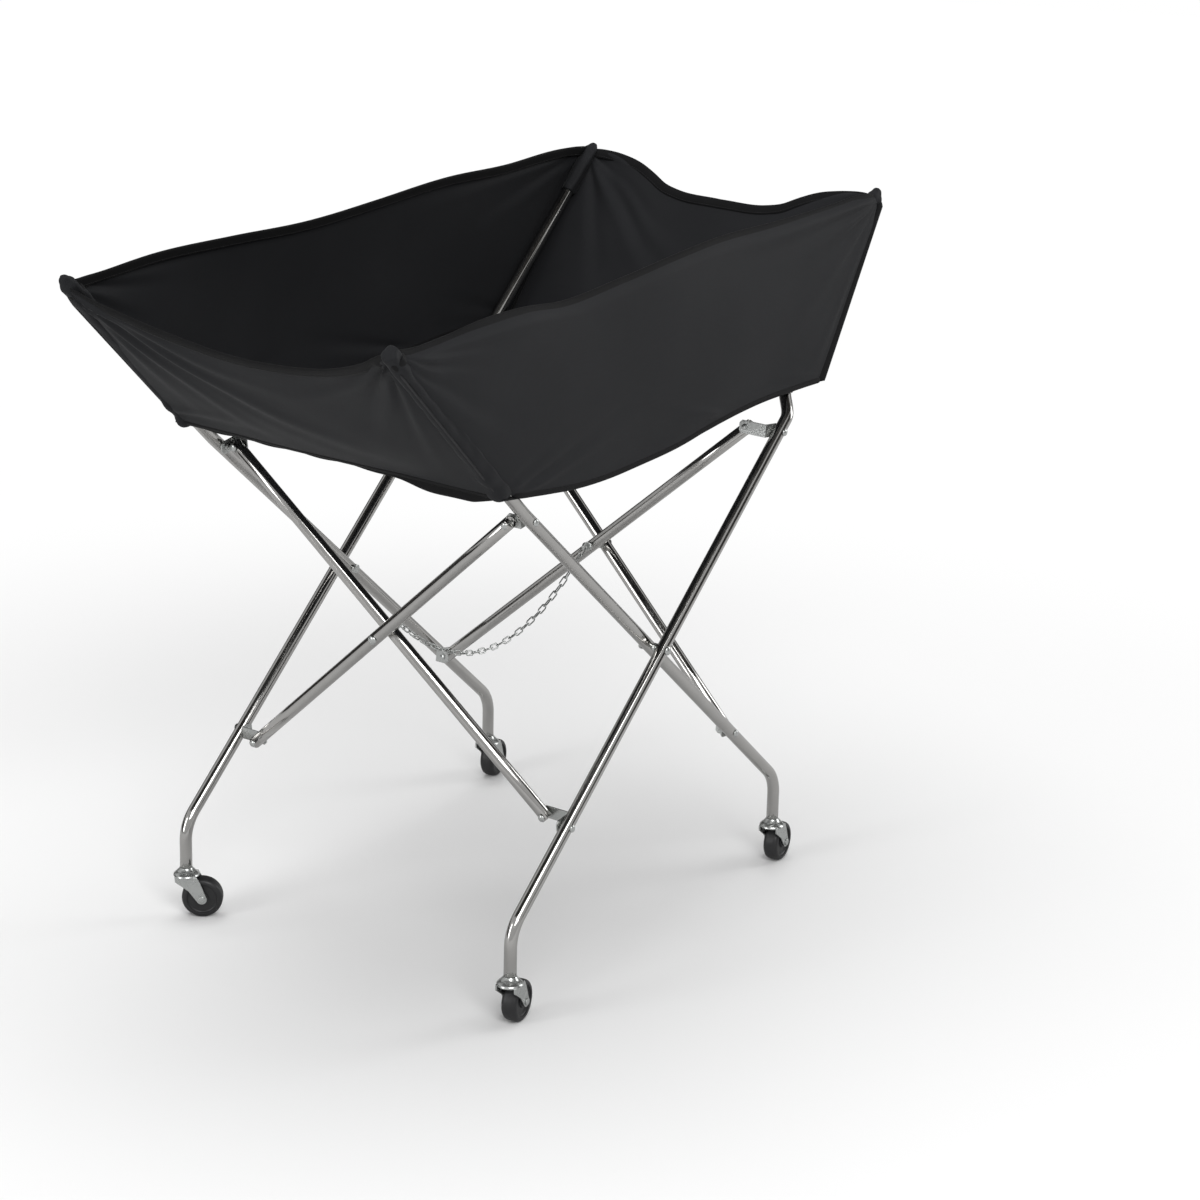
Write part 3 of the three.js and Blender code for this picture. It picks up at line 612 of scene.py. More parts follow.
for word, side, body in (("front", -1, "front_pivot"), ("rear", 1, "rear_outer_leg")):
    start = Vector((0, side * outer_row, pivot_height))
    bolt = pivot_bolt(word, start, Vector((0, -side, 0)), outer_row - inner_row)
    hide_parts("pivot_" + word)
    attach(bolt, body)

eyes = {}
for word, body in (("left", "left_outer_strut"), ("right", "right_inner_strut")):
    outer, inner = strut_middles[word + "_outer"], strut_middles[word + "_inner"]
    inward = (inner - outer).normalized()
    far = (inner - outer).length
    bolt = pivot_bolt(word, outer, inward, far)
    stem = far + tube_radius + fit_gap + bolt_head_height
    centre = outer + inward * (stem + eye_reach - eye_radius)
    back = outer + inward * (stem - eye_sink)
    eyes[word] = centre
    third = Vector((0, 1, 0)).cross(inward)
    loop, hole = [], []
    for k in range(2 * eye_steps + 1):
        turn = -math.pi / 2 + math.pi * k / eye_steps
        way = inward * math.cos(turn) + third * math.sin(turn)
        hole.append(centre + way * eye_hole_radius)
        if k <= eye_steps:
            loop.append(centre + way * eye_radius)
        else:
            loop.append(back + third * (eye_radius * eye_neck * (3 - 2 * k / eye_steps)))
    rim = len(loop)
    half = Vector((0, eye_plate / 2, 0))
    verts = [p - half for p in loop + hole] + [p + half for p in loop + hole]
    faces = []
    for k in range(rim):
        m = (k + 1) % rim
        faces.append((k, m, rim + m, rim + k))
        faces.append((2 * rim + k, 3 * rim + k, 3 * rim + m, 2 * rim + m))
        faces.append((k, 2 * rim + k, 2 * rim + m, m))
        faces.append((rim + k, rim + m, 3 * rim + m, 3 * rim + k))
    tab = soft_edges(outward(make_piece(f"pivot_{word}_eye", verts, faces, zinc)), crease)
    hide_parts("pivot_" + word)
    for piece in (bolt, tab):
        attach(piece, body)


# Chain: 33 zinc plated steel links that hang between the side pivots and stop the legs
# from spreading. Each link is a welded loop of round wire, turned a quarter from the last.
link_width = 0.0086
link_wire = 0.0021
chain_drop = 0.092
link_count = 33
chain_twist = math.radians(30)
chain_steps = 200
link_bend_steps = 8
wire_sides = 8


def chain_points(count):
    """Points of the hanging line from the left eye to the right one."""
    points = []
    for k in range(count + 1):
        share = k / count
        spot = eyes["left"].lerp(eyes["right"], share)
        spot.z -= chain_drop * (1 - (2 * share - 1) ** 2)
        points.append(spot)
    return points


def even_marks(points, count):
    """Points at equal distances along a line."""
    steps = [0.0]
    for a, b in zip(points, points[1:]):
        steps.append(steps[-1] + (b - a).length)
    marks = []
    for k in range(count + 1):
        wanted = steps[-1] * k / count
        n = max(1, next(i for i, s in enumerate(steps) if s >= wanted - 1e-9))
        part = (wanted - steps[n - 1]) / (steps[n] - steps[n - 1])
        marks.append(points[n - 1].lerp(points[n], part))
    return marks, steps[-1]


def link_form(name, pitch):
    """One closed link of round wire about its own middle, long axis along Z."""
    half_straight = (pitch + link_wire * 2 - link_width) / 2
    bend = (link_width - link_wire) / 2
    line = []
    for end, start in ((1, 0), (-1, math.pi)):
        for k in range(link_bend_steps + 1):
            turn = start + math.pi * k / link_bend_steps
            line.append(Vector((bend * math.cos(turn), 0, end * half_straight + bend * math.sin(turn))))
    verts = []
    for k, spot in enumerate(line):
        along = (line[(k + 1) % len(line)] - line[k - 1]).normalized()
        across = Vector((0, 1, 0))
        third = along.cross(across)
        for m in range(wire_sides):
            turn = 2 * math.pi * m / wire_sides
            verts.append(spot + (across * math.cos(turn) + third * math.sin(turn)) * (link_wire / 2))
    return outward(make_piece(name, verts, ring_faces(len(line), wire_sides, looped=True), zinc))


def chain_tree():
    """Sets links along the chain, with a quarter turn for every second one."""
    tree, entry, align, place = placing_tree("chain_links", [("Quarter turn", "Float"), ("Twist", "Float")])
    level = add_node(
        tree, "FunctionNodeAlignRotationToVector", {"Vector": (0, 1, 0)}, axis="Y", pivot_axis="Z",
    )
    index = add_node(tree, "GeometryNodeInputIndex")
    odd = add_node(tree, "ShaderNodeMath", {1: 2}, operation="MODULO")
    amount = add_node(tree, "ShaderNodeMath", operation="MULTIPLY_ADD")
    spin = add_node(tree, "FunctionNodeAxisAngleToRotation", {"Axis": (0, 0, 1)})
    turn = add_node(tree, "FunctionNodeRotateRotation", rotation_space="LOCAL")
    wire(
        tree,
        (align, "Rotation", level, "Rotation"), (index, "Index", odd, 0), (odd, "Value", amount, 0),
        (entry, "Quarter turn", amount, 1), (entry, "Twist", amount, 2), (amount, "Value", spin, "Angle"),
        (level, "Rotation", turn, "Rotation"), (spin, "Rotation", turn, "Rotate By"),
        (turn, "Rotation", place, "Rotation"),
    )
    return tree


marks, chain_length = even_marks(chain_points(chain_steps), link_count)
link = link_form("link_form", chain_length / link_count)
spots = [((a + b) / 2, (b - a).normalized()) for a, b in zip(marks, marks[1:])]
chain = settle(axis_points("chain_points", spots), "chain_links", chain_tree(), {
    "Form": link, "Finish": zinc, "Quarter turn": math.pi / 2, "Twist": -chain_twist,
})
bpy.data.objects.remove(link)
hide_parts("chain")
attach(chain, "chain_hanging")
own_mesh(chain)


# Casters: a zinc plated steel stem and race pushed into each foot, a pressed fork that swivels
# under it on balls, and a black moulded rubber wheel on a riveted axle.
wheel_radius = 0.02836
wheel_width = 0.022
hub_radius = 0.009
rim_radius = 0.021
caster_trail = 0.022
axle_radius = 0.003
fork_gap = 0.0012
fork_thickness = 0.0022
crown_radius = 0.018
crown_bottom = 0.0594
crown_height = 0.006
race_radius = 0.0125
race_shank = 0.003
stem_radius = 0.005
stem_length = 0.018
crown_bore = 0.0036
axle_head = 0.0022
axle_shoulder = 0.0016
cheek_edge = 0.0005
cheek_round = 0.0072
cheek_start = math.radians(28)
cheek_sweep = math.radians(168)
cheek_steps = 16
stem_sides = 40
crown_sides = 48
axle_sides = 32
wheel_sides = 64
rubber = worn_material(
    "black_wheel", metallic=0.0, roughness=(0.36, 0.55), drift=90, grain=800, bump=0.2,
    shades=((0.009, 0.009, 0.010), (0.020, 0.020, 0.021)),
)
caster_sites = {
    "front_left": (-1, -outer_row, 12, "front_outer_leg"),
    "front_right": (1, -inner_row, 9, "front_inner_leg"),
    "rear_left": (-1, outer_row, -54.7, "rear_outer_leg"),
    "rear_right": (1, inner_row, 13, "rear_inner_leg"),
}
half_wheel = [
    (-0.011, 0.0034), (-0.011, 0.0075), (-0.0104, hub_radius), (-0.0086, hub_radius + 0.0006),
    (-0.0084, 0.0125), (-0.0084, 0.0195), (-0.0092, rim_radius - 0.0004), (-0.0108, rim_radius),
    (-0.011, 0.0225), (-0.0106, 0.0250), (-0.0090, 0.0270), (-0.0066, 0.0281), (-0.0035, wheel_radius),
]
wheel_profile = half_wheel + [(-a, r) for a, r in half_wheel[::-1]]
crown_top = crown_bottom + crown_height
race = crown_top + fit_gap
stem_profile = [
    (crown_bottom - 0.0016, 0.0048), (crown_bottom - 0.0012, 0.006), (crown_bottom - fit_gap, 0.006),
    (crown_bottom - fit_gap, race_shank), (race, race_shank), (race, race_radius - 0.0006),
    (race + 0.0005, race_radius), (race + 0.0013, race_radius), (race + 0.0022, race_radius - 0.0012),
    (foot_bottom - 0.0012, 0.0092), (foot_bottom - fit_gap, 0.0086), (foot_bottom - fit_gap, stem_radius),
    (foot_bottom + stem_length, stem_radius), (foot_bottom + stem_length + 0.001, stem_radius - 0.001),
]
crown_profile = [
    (crown_bottom, crown_bore), (crown_top - 0.001, crown_bore), (crown_top - 0.001, 0.009),
    (crown_top, 0.0098), (crown_top, race_radius), (crown_top - 0.0008, 0.0140),
    (crown_top - 0.0022, 0.0164), (crown_bottom + 0.0022, crown_radius - 0.0003),
    (crown_bottom + 0.0008, crown_radius), (crown_bottom, crown_radius - 0.0005),
]
cheek_inside = wheel_width / 2 + fork_gap
cheek_face = cheek_inside + fork_thickness
half_axle = [
    (-cheek_face - axle_head, 0.0036), (-cheek_face - axle_shoulder, 0.0048),
    (-cheek_face - fit_gap, 0.005), (-cheek_face - fit_gap, axle_radius),
]
axle_profile = half_axle + [(-a, r) for a, r in half_axle[::-1]]
cheek_outline = [(-0.0150, crown_bottom + 0.0022), (0.0150, crown_bottom + 0.0022), (0.0205, 0.052)]
for k in range(cheek_steps + 1):
    turn = cheek_start - cheek_sweep * k / cheek_steps
    cheek_outline.append((
        caster_trail + cheek_round * math.cos(turn), wheel_radius + cheek_round * math.sin(turn),
    ))
cheek_outline += [(0.0040, 0.0405), (-0.0080, 0.0492), (-0.0142, 0.0535)]
for site, (x, y, heading, body) in caster_sites.items():
    centre = Vector((x * foot_reach, y, 0))
    trail = Vector((math.cos(math.radians(heading)), math.sin(math.radians(heading)), 0))
    across = Vector((-trail.y, trail.x, 0))
    hub = centre + trail * caster_trail + upward * wheel_radius
    stem = turned_mesh(f"caster_stem_{site}_turned", stem_profile, centre, upward, stem_sides, zinc)
    crown = turned_mesh(
        f"caster_crown_{site}", crown_profile, centre, upward, crown_sides, zinc, looped=True,
    )
    cheeks = []
    for side, word in ((-1, "near"), (1, "far")):
        near = [centre + trail * a + upward * b + across * (side * cheek_inside) for a, b in cheek_outline]
        far = [p + across * (side * fork_thickness) for p in near]
        faces = ring_faces(2, len(near))
        cheek = outward(make_piece(f"caster_cheek_{site}_{word}", near + far, faces, zinc))
        edge = cheek.modifiers.new("edge", "BEVEL")
        edge.width = cheek_edge
        edge.segments = 2
        edge.limit_method = "ANGLE"
        cheeks.append(soft_edges(cheek, crease))
    axle = turned_mesh(f"caster_axle_{site}_pin", axle_profile, hub, across, axle_sides, zinc)
    wheel = turned_mesh(
        f"caster_wheel_{site}_tyre", wheel_profile, hub, across, wheel_sides, rubber, looped=True,
    )
    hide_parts("caster_stem_" + site)
    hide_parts("caster_fork_" + site)
    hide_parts("caster_axle_" + site)
    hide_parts("caster_wheel_" + site)
    for piece, slot_name, rides in (
        (stem, "fitting", body), (crown, "fitting", "fork_" + site), (axle, "fitting", "fork_" + site),
        (wheel, "wheel", "wheel_" + site), *((c, "fitting", "fork_" + site) for c in cheeks),
    ):
        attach(piece, rides)


# Basket cloth: charcoal woven nylon with a dull sheen, cut into two long panels, two end panels
# and two floor leaves. They are sewn together along their edges with bands whose darker tone is painted
# shade.
rim_reach = 0.553
rim_row = {"left": 0.270, "right": 0.259}
floor_height = 0.716
floor_row = 0.2705
floor_reach = {"left": 0.343, "right": 0.386}
cloth_thickness = 0.0009
bottom_line = [
    (0, 0.716), (0.07, 0.709), (0.18, 0.699), (0.28, 0.6955), (0.38, 0.697), (0.5, 0.701), (0.6, 0.709),
    (0.68, 0.7145), (0.78, 0.7185), (0.9, 0.718), (1, 0.716),
]


def weave_group():
    """Shared weave: crossed threads as a height, and a slow drift of shade."""
    tree, entry, out = open_tree(
        "woven_threads", "ShaderNodeTree",
        [("Thread scale", "Float", 420), ("Drift scale", "Float", 9)],
        [("Height", "Float"), ("Drift", "Float")],
    )
    place = add_node(tree, "ShaderNodeTexCoord")
    turned = add_node(tree, "ShaderNodeMapping", {"Rotation": (0, 0, math.pi / 4)})
    wire(tree, (place, "Object", turned, "Vector"))
    height = ()
    for direction in "XYZ":
        wave = add_node(
            tree, "ShaderNodeTexWave", {"Distortion": 0.4}, wave_type="BANDS", bands_direction=direction,
        )
        wire(tree, (turned, "Vector", wave, "Vector"), (entry, "Thread scale", wave, "Scale"))
        crossed = (wave, "Fac")
        if height:
            both = add_node(tree, "ShaderNodeMath", operation="ADD")
            wire(tree, (*height, both, 0), (*crossed, both, 1))
            crossed = (both, "Value")
        height = crossed
    drift = add_node(tree, "ShaderNodeTexNoise", {"Detail": 5})
    wire(
        tree,
        (place, "Object", drift, "Vector"), (entry, "Drift scale", drift, "Scale"),
        (*height, out, "Height"), (drift, "Fac", out, "Drift"),
    )
    return tree


woven_threads = weave_group()
weave_bump = 0.2
weave_depth = 0.0001


def nylon_material(name, dark, light, gloss, drift_scale):
    """Woven nylon with a dull sheen; its shade drifts slowly."""
    material, tree, shader = new_material(name, dark, 0.6)
    weave = add_node(tree, "ShaderNodeGroup", {"Drift scale": drift_scale}, node_tree=woven_threads)
    patterned(tree, shader, weave, "Drift", weave_bump, weave_depth, (dark, light))
    for label, value in (("Specular IOR Level", gloss), ("Sheen Weight", 0.03), ("Sheen Roughness", 0.45)):
        shader.inputs[label].default_value = value
    return material


nylon = nylon_material("charcoal_nylon", (0.0125, 0.0129, 0.0143), (0.0178, 0.0182, 0.0198), 0.10, 9)
# A darker copy of the nylon for hems, seams, collars and cuffs: painted shade of folded and gathered edges.
nylon_painted_shade = nylon_material("nylon_hem_painted_shade", (0.0064, 0.0064, 0.0068), (0.0096, 0.0096, 0.0101), 0.07, 30)
# A lighter copy of the nylon for the left sleeves' piping: a raised seam whose pale line is painted
# highlight.
nylon_painted_highlight = nylon_material("piping_painted_highlight", (0.020, 0.020, 0.021), (0.034, 0.034, 0.036), 0.12, 30)
thread = nylon_material("charcoal_thread", (0.022, 0.022, 0.023), (0.034, 0.034, 0.036), 0.12, 60)


def curve_through(pairs, value):
    """A smooth value through (place, value) pairs."""
    places = np.array([p for p, v in pairs])
    values = np.array([v for p, v in pairs])
    slopes = np.gradient(values, places)
    value = np.clip(value, places[0], places[-1])
    k = np.clip(np.searchsorted(places, value, side="right") - 1, 0, len(places) - 2)
    step = places[k + 1] - places[k]
    t = (value - places[k]) / step
    return (
        (2 * t ** 3 - 3 * t ** 2 + 1) * values[k] + (t ** 3 - 2 * t ** 2 + t) * step * slopes[k]
        + (3 * t ** 2 - 2 * t ** 3) * values[k + 1] + (t ** 3 - t ** 2) * step * slopes[k + 1]
    )


fold_fade = 1.2
fold_narrow = 0.4
fold_widening = 0.9
onset_lead = 0.12
onset_length = 0.2
trough_depth = 0.55
trough_shift = 1.7
wave_count = 7
wave_pitches = (0.12, 0.34)
pleats_per_turn = 26
pleat_reach = 0.028
gather_pull = 0.6
gather_reach = 0.022
cloth_crease = math.radians(60)


def fold_height(across, rise, folds):
    """Height of soft folds on a panel. Each fold fans out from its start and fades to its end."""
    total = np.zeros_like(across)
    for start, end, width, height in folds:
        run, climb = end[0] - start[0], end[1] - start[1]
        length = math.hypot(run, climb)
        along = ((across - start[0]) * run + (rise - start[1]) * climb) / length ** 2
        away = ((across - start[0]) * -climb + (rise - start[1]) * run) / length
        spread = width * (fold_narrow + fold_widening * np.clip(along, 0, 1))
        fade = np.clip(1 - along, 0, 1) ** fold_fade * np.clip((along + onset_lead) / onset_length, 0, 1)
        ridge = np.exp(-(away / spread) ** 2)
        trough = np.exp(-((away - trough_shift * spread) / spread) ** 2)
        total += height * fade * (ridge - trough_depth * trough)
    return total


def slow_waves(across, rise, size, seed):
    """A few long, low waves that keep a panel from lying dead flat."""
    rng = np.random.default_rng(seed)
    total = np.zeros_like(across)
    for _ in range(wave_count):
        angle, phase = rng.uniform(0, math.pi), rng.uniform(0, 2 * math.pi)
        pitch = rng.uniform(*wave_pitches)
        place = across * math.cos(angle) + rise * math.sin(angle)
        total += np.sin(place * 2 * math.pi / pitch + phase) * pitch
    return total * size


def pleats(run, climb, size):
    """Short pleats that fan out from a gathered corner."""
    far = np.hypot(run, climb)
    share = far / pleat_reach
    return size * np.cos(pleats_per_turn * np.arctan2(climb, run)) * share * np.exp(1 - share)


def gathered(grid):
    """A panel's points, drawn in towards the leg tips that its corners are tied over."""
    for leg in legs.values():
        tip = np.array(leg_path(leg)[-1])
        pull = gather_pull * np.exp(-(np.linalg.norm(grid - tip, axis=2) / gather_reach) ** 2)
        grid = grid + (tip - grid) * pull[..., None]
    return grid


def cloth_panel(name, grid, material):
    """A closed thin sheet around a grid of points, pushed both ways along its own normals."""
    du = np.gradient(grid, axis=1)
    dv = np.gradient(grid, axis=0)
    normal = np.cross(du, dv)
    normal /= np.linalg.norm(normal, axis=2, keepdims=True)
    rows, columns = grid.shape[:2]
    half = normal * cloth_thickness / 2
    verts = np.concatenate([(grid + half).reshape(-1, 3), (grid - half).reshape(-1, 3)])
    faces, shift = [], rows * columns
    for r in range(rows - 1):
        for c in range(columns - 1):
            a, d = r * columns + c, (r + 1) * columns + c
            b, e = a + 1, d + 1
            faces += [(a, b, e, d), (a + shift, d + shift, e + shift, b + shift)]
    edge = [*range(columns - 1), *(r * columns + columns - 1 for r in range(rows - 1))]
    edge += [(rows - 1) * columns + c for c in range(columns - 1, 0, -1)]
    edge += [r * columns for r in range(rows - 1, 0, -1)]
    for a, b in zip(edge, edge[1:] + edge[:1]):
        faces.append((a, a + shift, b + shift, b))
    return soft_edges(outward(make_piece(name, verts, faces, material)), cloth_crease)


strip_end = 0.006
strip_least = 0.02
strip_corner = 0.6


def strip(name, path, sideways, width, thick, material, steps=12):
    """A flattened round band swept along a path; its wide side follows the given directions."""
    points = np.array(path, dtype=float)
    wide = np.array(sideways, dtype=float)
    along = np.gradient(points, axis=0)
    along /= np.linalg.norm(along, axis=1, keepdims=True)
    wide -= along * (wide * along).sum(1, keepdims=True)
    wide /= np.linalg.norm(wide, axis=1, keepdims=True)
    thin = np.cross(along, wide)
    gone = np.concatenate([[0], np.cumsum(np.linalg.norm(np.diff(points, axis=0), axis=1))])
    inset = np.clip(np.minimum(gone, gone[-1] - gone) / strip_end, strip_least, 1)
    rounded = np.sqrt(1 - (1 - inset) ** 2)
    width, thick = width * rounded, thick * rounded
    verts = []
    for k in range(len(points)):
        for m in range(steps):
            turn = 2 * math.pi * m / steps
            c, s = math.cos(turn), math.sin(turn)
            shape = abs(c) ** strip_corner * math.copysign(1, c)
            verts.append(points[k] + wide[k] * (shape * width[k] / 2) + thin[k] * (s * thick[k] / 2))
    return outward(make_piece(name, verts, ring_faces(len(points), steps), material))


stitch_length = 0.0028
stitch_pitch = 0.0042
stitch_radius = 0.00032
stitch_taper = 0.4
stitch_margin = 0.012
stitch_probe = 0.001
stitch_sink = 0.0001
edge_span = 8
stitch_form = turned_mesh("stitch_form", [
    (-stitch_length / 2, stitch_radius * stitch_taper), (-stitch_length / 3, stitch_radius),
    (stitch_length / 3, stitch_radius), (stitch_length / 2, stitch_radius * stitch_taper),
], Vector(), upward, 6, thread)


def stitches(name, lines):
    """Straight lockstitches set at an even pitch along each line."""
    spots = []
    for line in lines:
        gone = np.concatenate([[0], np.cumsum(np.linalg.norm(np.diff(line, axis=0), axis=1))])
        marks = np.arange(stitch_margin, gone[-1] - stitch_margin, stitch_pitch)
        at = np.stack([np.interp(marks, gone, line[:, k]) for k in range(3)], axis=1)
        ahead = np.stack([np.interp(marks + stitch_probe, gone, line[:, k]) for k in range(3)], axis=1)
        spots += list(zip(at, ahead - at))
    return set_forms(name, spots, stitch_form, thread)


def faded(distance, length, least=0):
    """Rises from the least at an edge to 1 a length away from it."""
    return np.clip(distance / length, least, 1)


def edge_band(name, grid, top, inset, width, thick, seam_rows=()):
    """A band along a panel's rim or lower edge, and stitch lines on both its faces."""
    row, near = (-1, -1 - edge_span) if top else (0, edge_span)
    way = grid[row] - grid[near]
    way /= np.linalg.norm(way, axis=1, keepdims=True)
    line = grid[row] - way * inset
    band = strip(name, line, way, width, thick, nylon_painted_shade)
    along = np.gradient(line, axis=0)
    face = np.cross(along, way)
    face /= np.linalg.norm(face, axis=1, keepdims=True)
    sunk = thick / 2 - stitch_sink
    lines = [line + way * shift + face * (flip * sunk) for shift in seam_rows for flip in (-1, 1)]
    return [band] + ([stitches(name + "_stitches", lines)] if lines else [])


# Long panels: the front and the rear one, each hung between two leg tips and swelling a little.
# The rim is turned over twice and stitched, and a bound seam joins the lower edge to the floor.
rim_start = 0.549
leg_floor_reach = 0.321
rim_line = {
    -1: [
        (0, 0.941), (0.03, 0.939), (0.09, 0.941), (0.16, 0.948), (0.23, 0.947), (0.30, 0.939), (0.42, 0.945),
        (0.53, 0.954), (0.60, 0.957), (0.75, 0.954), (0.90, 0.952), (0.96, 0.953), (1, 0.948),
    ],
    1: [
        (0, 0.941), (0.04, 0.943), (0.15, 0.950), (0.28, 0.947), (0.40, 0.942), (0.55, 0.946), (0.70, 0.953),
        (0.82, 0.949), (0.93, 0.952), (1, 0.948),
    ],
}
long_folds = {
    -1: [
        ((-0.546, 0.930), (-0.330, 0.905), 0.006, 0.0036), ((-0.546, 0.926), (-0.370, 0.880), 0.007, 0.0040),
        ((-0.542, 0.918), (-0.410, 0.850), 0.007, 0.0038), ((-0.535, 0.908), (-0.420, 0.815), 0.008, 0.0032),
        ((-0.546, 0.932), (-0.180, 0.930), 0.009, 0.0036), ((-0.520, 0.900), (-0.290, 0.760), 0.014, 0.0032),
        ((0.545, 0.940), (0.345, 0.720), 0.010, 0.0050), ((0.545, 0.942), (0.270, 0.880), 0.012, 0.0035),
        ((0.545, 0.940), (0.290, 0.800), 0.013, 0.0030), ((0.545, 0.945), (0.150, 0.935), 0.010, 0.0040),
        ((-0.300, 0.716), (-0.020, 0.775), 0.012, 0.0030), ((0.130, 0.722), (-0.060, 0.772), 0.011, 0.0026),
        ((-0.340, 0.722), (-0.190, 0.770), 0.010, 0.0018), ((0.380, 0.722), (0.250, 0.745), 0.008, 0.0022),
    ],
    1: [
        ((-0.546, 0.935), (-0.330, 0.900), 0.008, 0.0040), ((-0.546, 0.930), (-0.380, 0.850), 0.009, 0.0044),
        ((-0.546, 0.935), (-0.200, 0.935), 0.010, 0.0036), ((-0.530, 0.905), (-0.300, 0.750), 0.014, 0.0036),
        ((0.545, 0.940), (0.345, 0.730), 0.010, 0.0046), ((0.545, 0.940), (0.260, 0.870), 0.012, 0.0040),
        ((0.545, 0.943), (0.120, 0.930), 0.010, 0.0036), ((0.130, 0.720), (-0.120, 0.780), 0.013, 0.0030),
        ((-0.340, 0.722), (-0.120, 0.760), 0.012, 0.0030), ((0.380, 0.722), (0.200, 0.780), 0.012, 0.0028),
    ],
}
long_swell = 0.010
long_waves = 0.0022
long_seed = 7
long_fade = {"left": 0.04, "right": 0.03}
long_gathers = ((-rim_start, tip_height, 0.0013), (rim_start, 0.945, 0.0008))
low_fade = (0.06, 0.15)
edge_tuck = 0.004
tuck_length = 0.010
rim_roll = 0.008
roll_start = 0.92
roll_length = 0.08
long_hem = {"inset": 0.007, "width": 0.017, "thick": 0.0044, "seam_rows": (-0.0055,)}
long_seam = {"inset": -0.001, "width": 0.008, "thick": 0.0032}
columns, rows = ((260, 84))
sheets = {}
for side, word in ((-1, "front"), (1, "rear")):
    share, rise = np.meshgrid(np.linspace(0, 1, columns), np.linspace(0, 1, rows))
    low_x = -leg_floor_reach + (leg_floor_reach + floor_reach["right"]) * share
    high_x = -rim_start + (rim_start + rim_reach) * share
    x = low_x * (1 - rise) + high_x * rise
    z = curve_through(bottom_line, share) * (1 - rise) + curve_through(rim_line[side], share) * rise
    y = floor_row * (1 - rise) + (rim_row["left"] * (1 - share) + rim_row["right"] * share) * rise
    y -= edge_tuck * np.exp(-share / tuck_length)
    swell = long_swell * np.sin(math.pi * share) * np.sin(math.pi * rise)
    relief = fold_height(x, z, long_folds[side]) + slow_waves(x, z, long_waves, long_seed + side)
    relief *= faded(share, long_fade["left"]) * faded(1 - share, long_fade["right"]) * faded(rise, *low_fade)
    relief += sum(pleats(x - place, z - height, size) for place, height, size in long_gathers)
    roll = rim_roll * faded(rise - roll_start, roll_length) ** 2
    grid = gathered(np.stack([x, side * (y + swell + relief - roll), z], axis=2))
    panel = cloth_panel(f"basket_{word}_panel", grid, nylon)
    trims = edge_band(f"basket_{word}_hem", grid, True, **long_hem)
    trims += edge_band(f"basket_{word}_seam", grid, False, **long_seam)
    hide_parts("basket_" + word)
    for piece in (panel, *trims):
        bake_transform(piece)
    sheets[word] = (panel, trims)


# End panels: the left and the right one, of the same nylon, with a rim that sags between the
# leg tips. A narrow hem hangs below the floor seam.
rim_top = 0.948
end_height = 0.32
end_sag = {
    "left": (0.064, 0.056, [
        (0, 1), (0.3, 0.94), (0.5, 0.80), (0.7, 0.56), (0.85, 0.31), (0.95, 0.11), (1, 0),
    ]),
    "right": (0.042, 0.024, [
        (0, 1), (0.3, 0.93), (0.4, 0.80), (0.5, 0.53), (0.6, 0.30), (0.72, 0.15), (0.85, 0.07), (1, 0),
    ]),
}
end_folds = {
    -1: [
        ((0.255, 0.318), (-0.190, 0.030), 0.022, 0.0060), ((0.255, 0.300), (0.020, 0.000), 0.020, 0.0048),
        ((0.252, 0.290), (0.170, 0.000), 0.016, 0.0036), ((0.250, 0.312), (-0.060, 0.230), 0.016, 0.0044),
        ((-0.250, 0.312), (-0.100, 0.060), 0.020, 0.0056), ((-0.252, 0.300), (-0.200, 0.020), 0.012, 0.0044),
        ((-0.248, 0.314), (-0.010, 0.220), 0.014, 0.0042), ((-0.246, 0.308), (-0.160, 0.210), 0.006, 0.0030),
        ((-0.250, 0.302), (-0.190, 0.190), 0.005, 0.0028), ((0.262, 0.030), (0.060, 0.100), 0.016, 0.0034),
    ],
    1: [
        ((-0.240, 0.312), (0.100, 0.040), 0.020, 0.0056), ((-0.242, 0.300), (-0.080, 0.010), 0.016, 0.0044),
        ((0.240, 0.312), (-0.060, 0.060), 0.020, 0.0054), ((0.242, 0.300), (0.110, 0.010), 0.016, 0.0044),
        ((0.238, 0.314), (0.020, 0.210), 0.015, 0.0040), ((-0.238, 0.314), (-0.030, 0.220), 0.015, 0.0040),
    ],
}
end_swell = 0.012
end_waves = 0.0024
end_seed = 21
end_fade = 0.05
end_pleat = 0.0012
gather_row = 0.262
end_row = 0.2585
end_lean = {"left": 0.0065, "right": 0}
end_hem = {"inset": 0.006, "width": 0.015, "thick": 0.0040, "seam_rows": (-0.0048,)}
end_seam = {"inset": 0.003, "width": 0.010, "thick": 0.0034}
end_columns = 150
hem_droop = {"left": 0.011, "right": 0.003}
droop_place = -0.72
droop_spread = 0.30
droop_fade = 0.14
ripple = 0.0010
ripple_rate = 19
floor_hem_rise = 0.003
floor_hem_width = 0.010
floor_hem_thickness = 0.0030


def end_point(side, share, rise):
    """Place on an end panel: share from the front (-1) to the rear (1), rise from floor to rim."""
    word = "left" if side < 0 else "right"
    drop, inward, sag_line = end_sag[word]
    sag = curve_through(sag_line, np.abs(share)) * rise
    x = floor_reach[word] * (1 - rise) + rim_reach * rise - inward * sag
    z = floor_height * (1 - rise) + rim_top * rise - drop * sag
    row = end_row if word == "left" else floor_row * (1 - rise) + rim_row[word] * rise
    return side * x, row * share, z


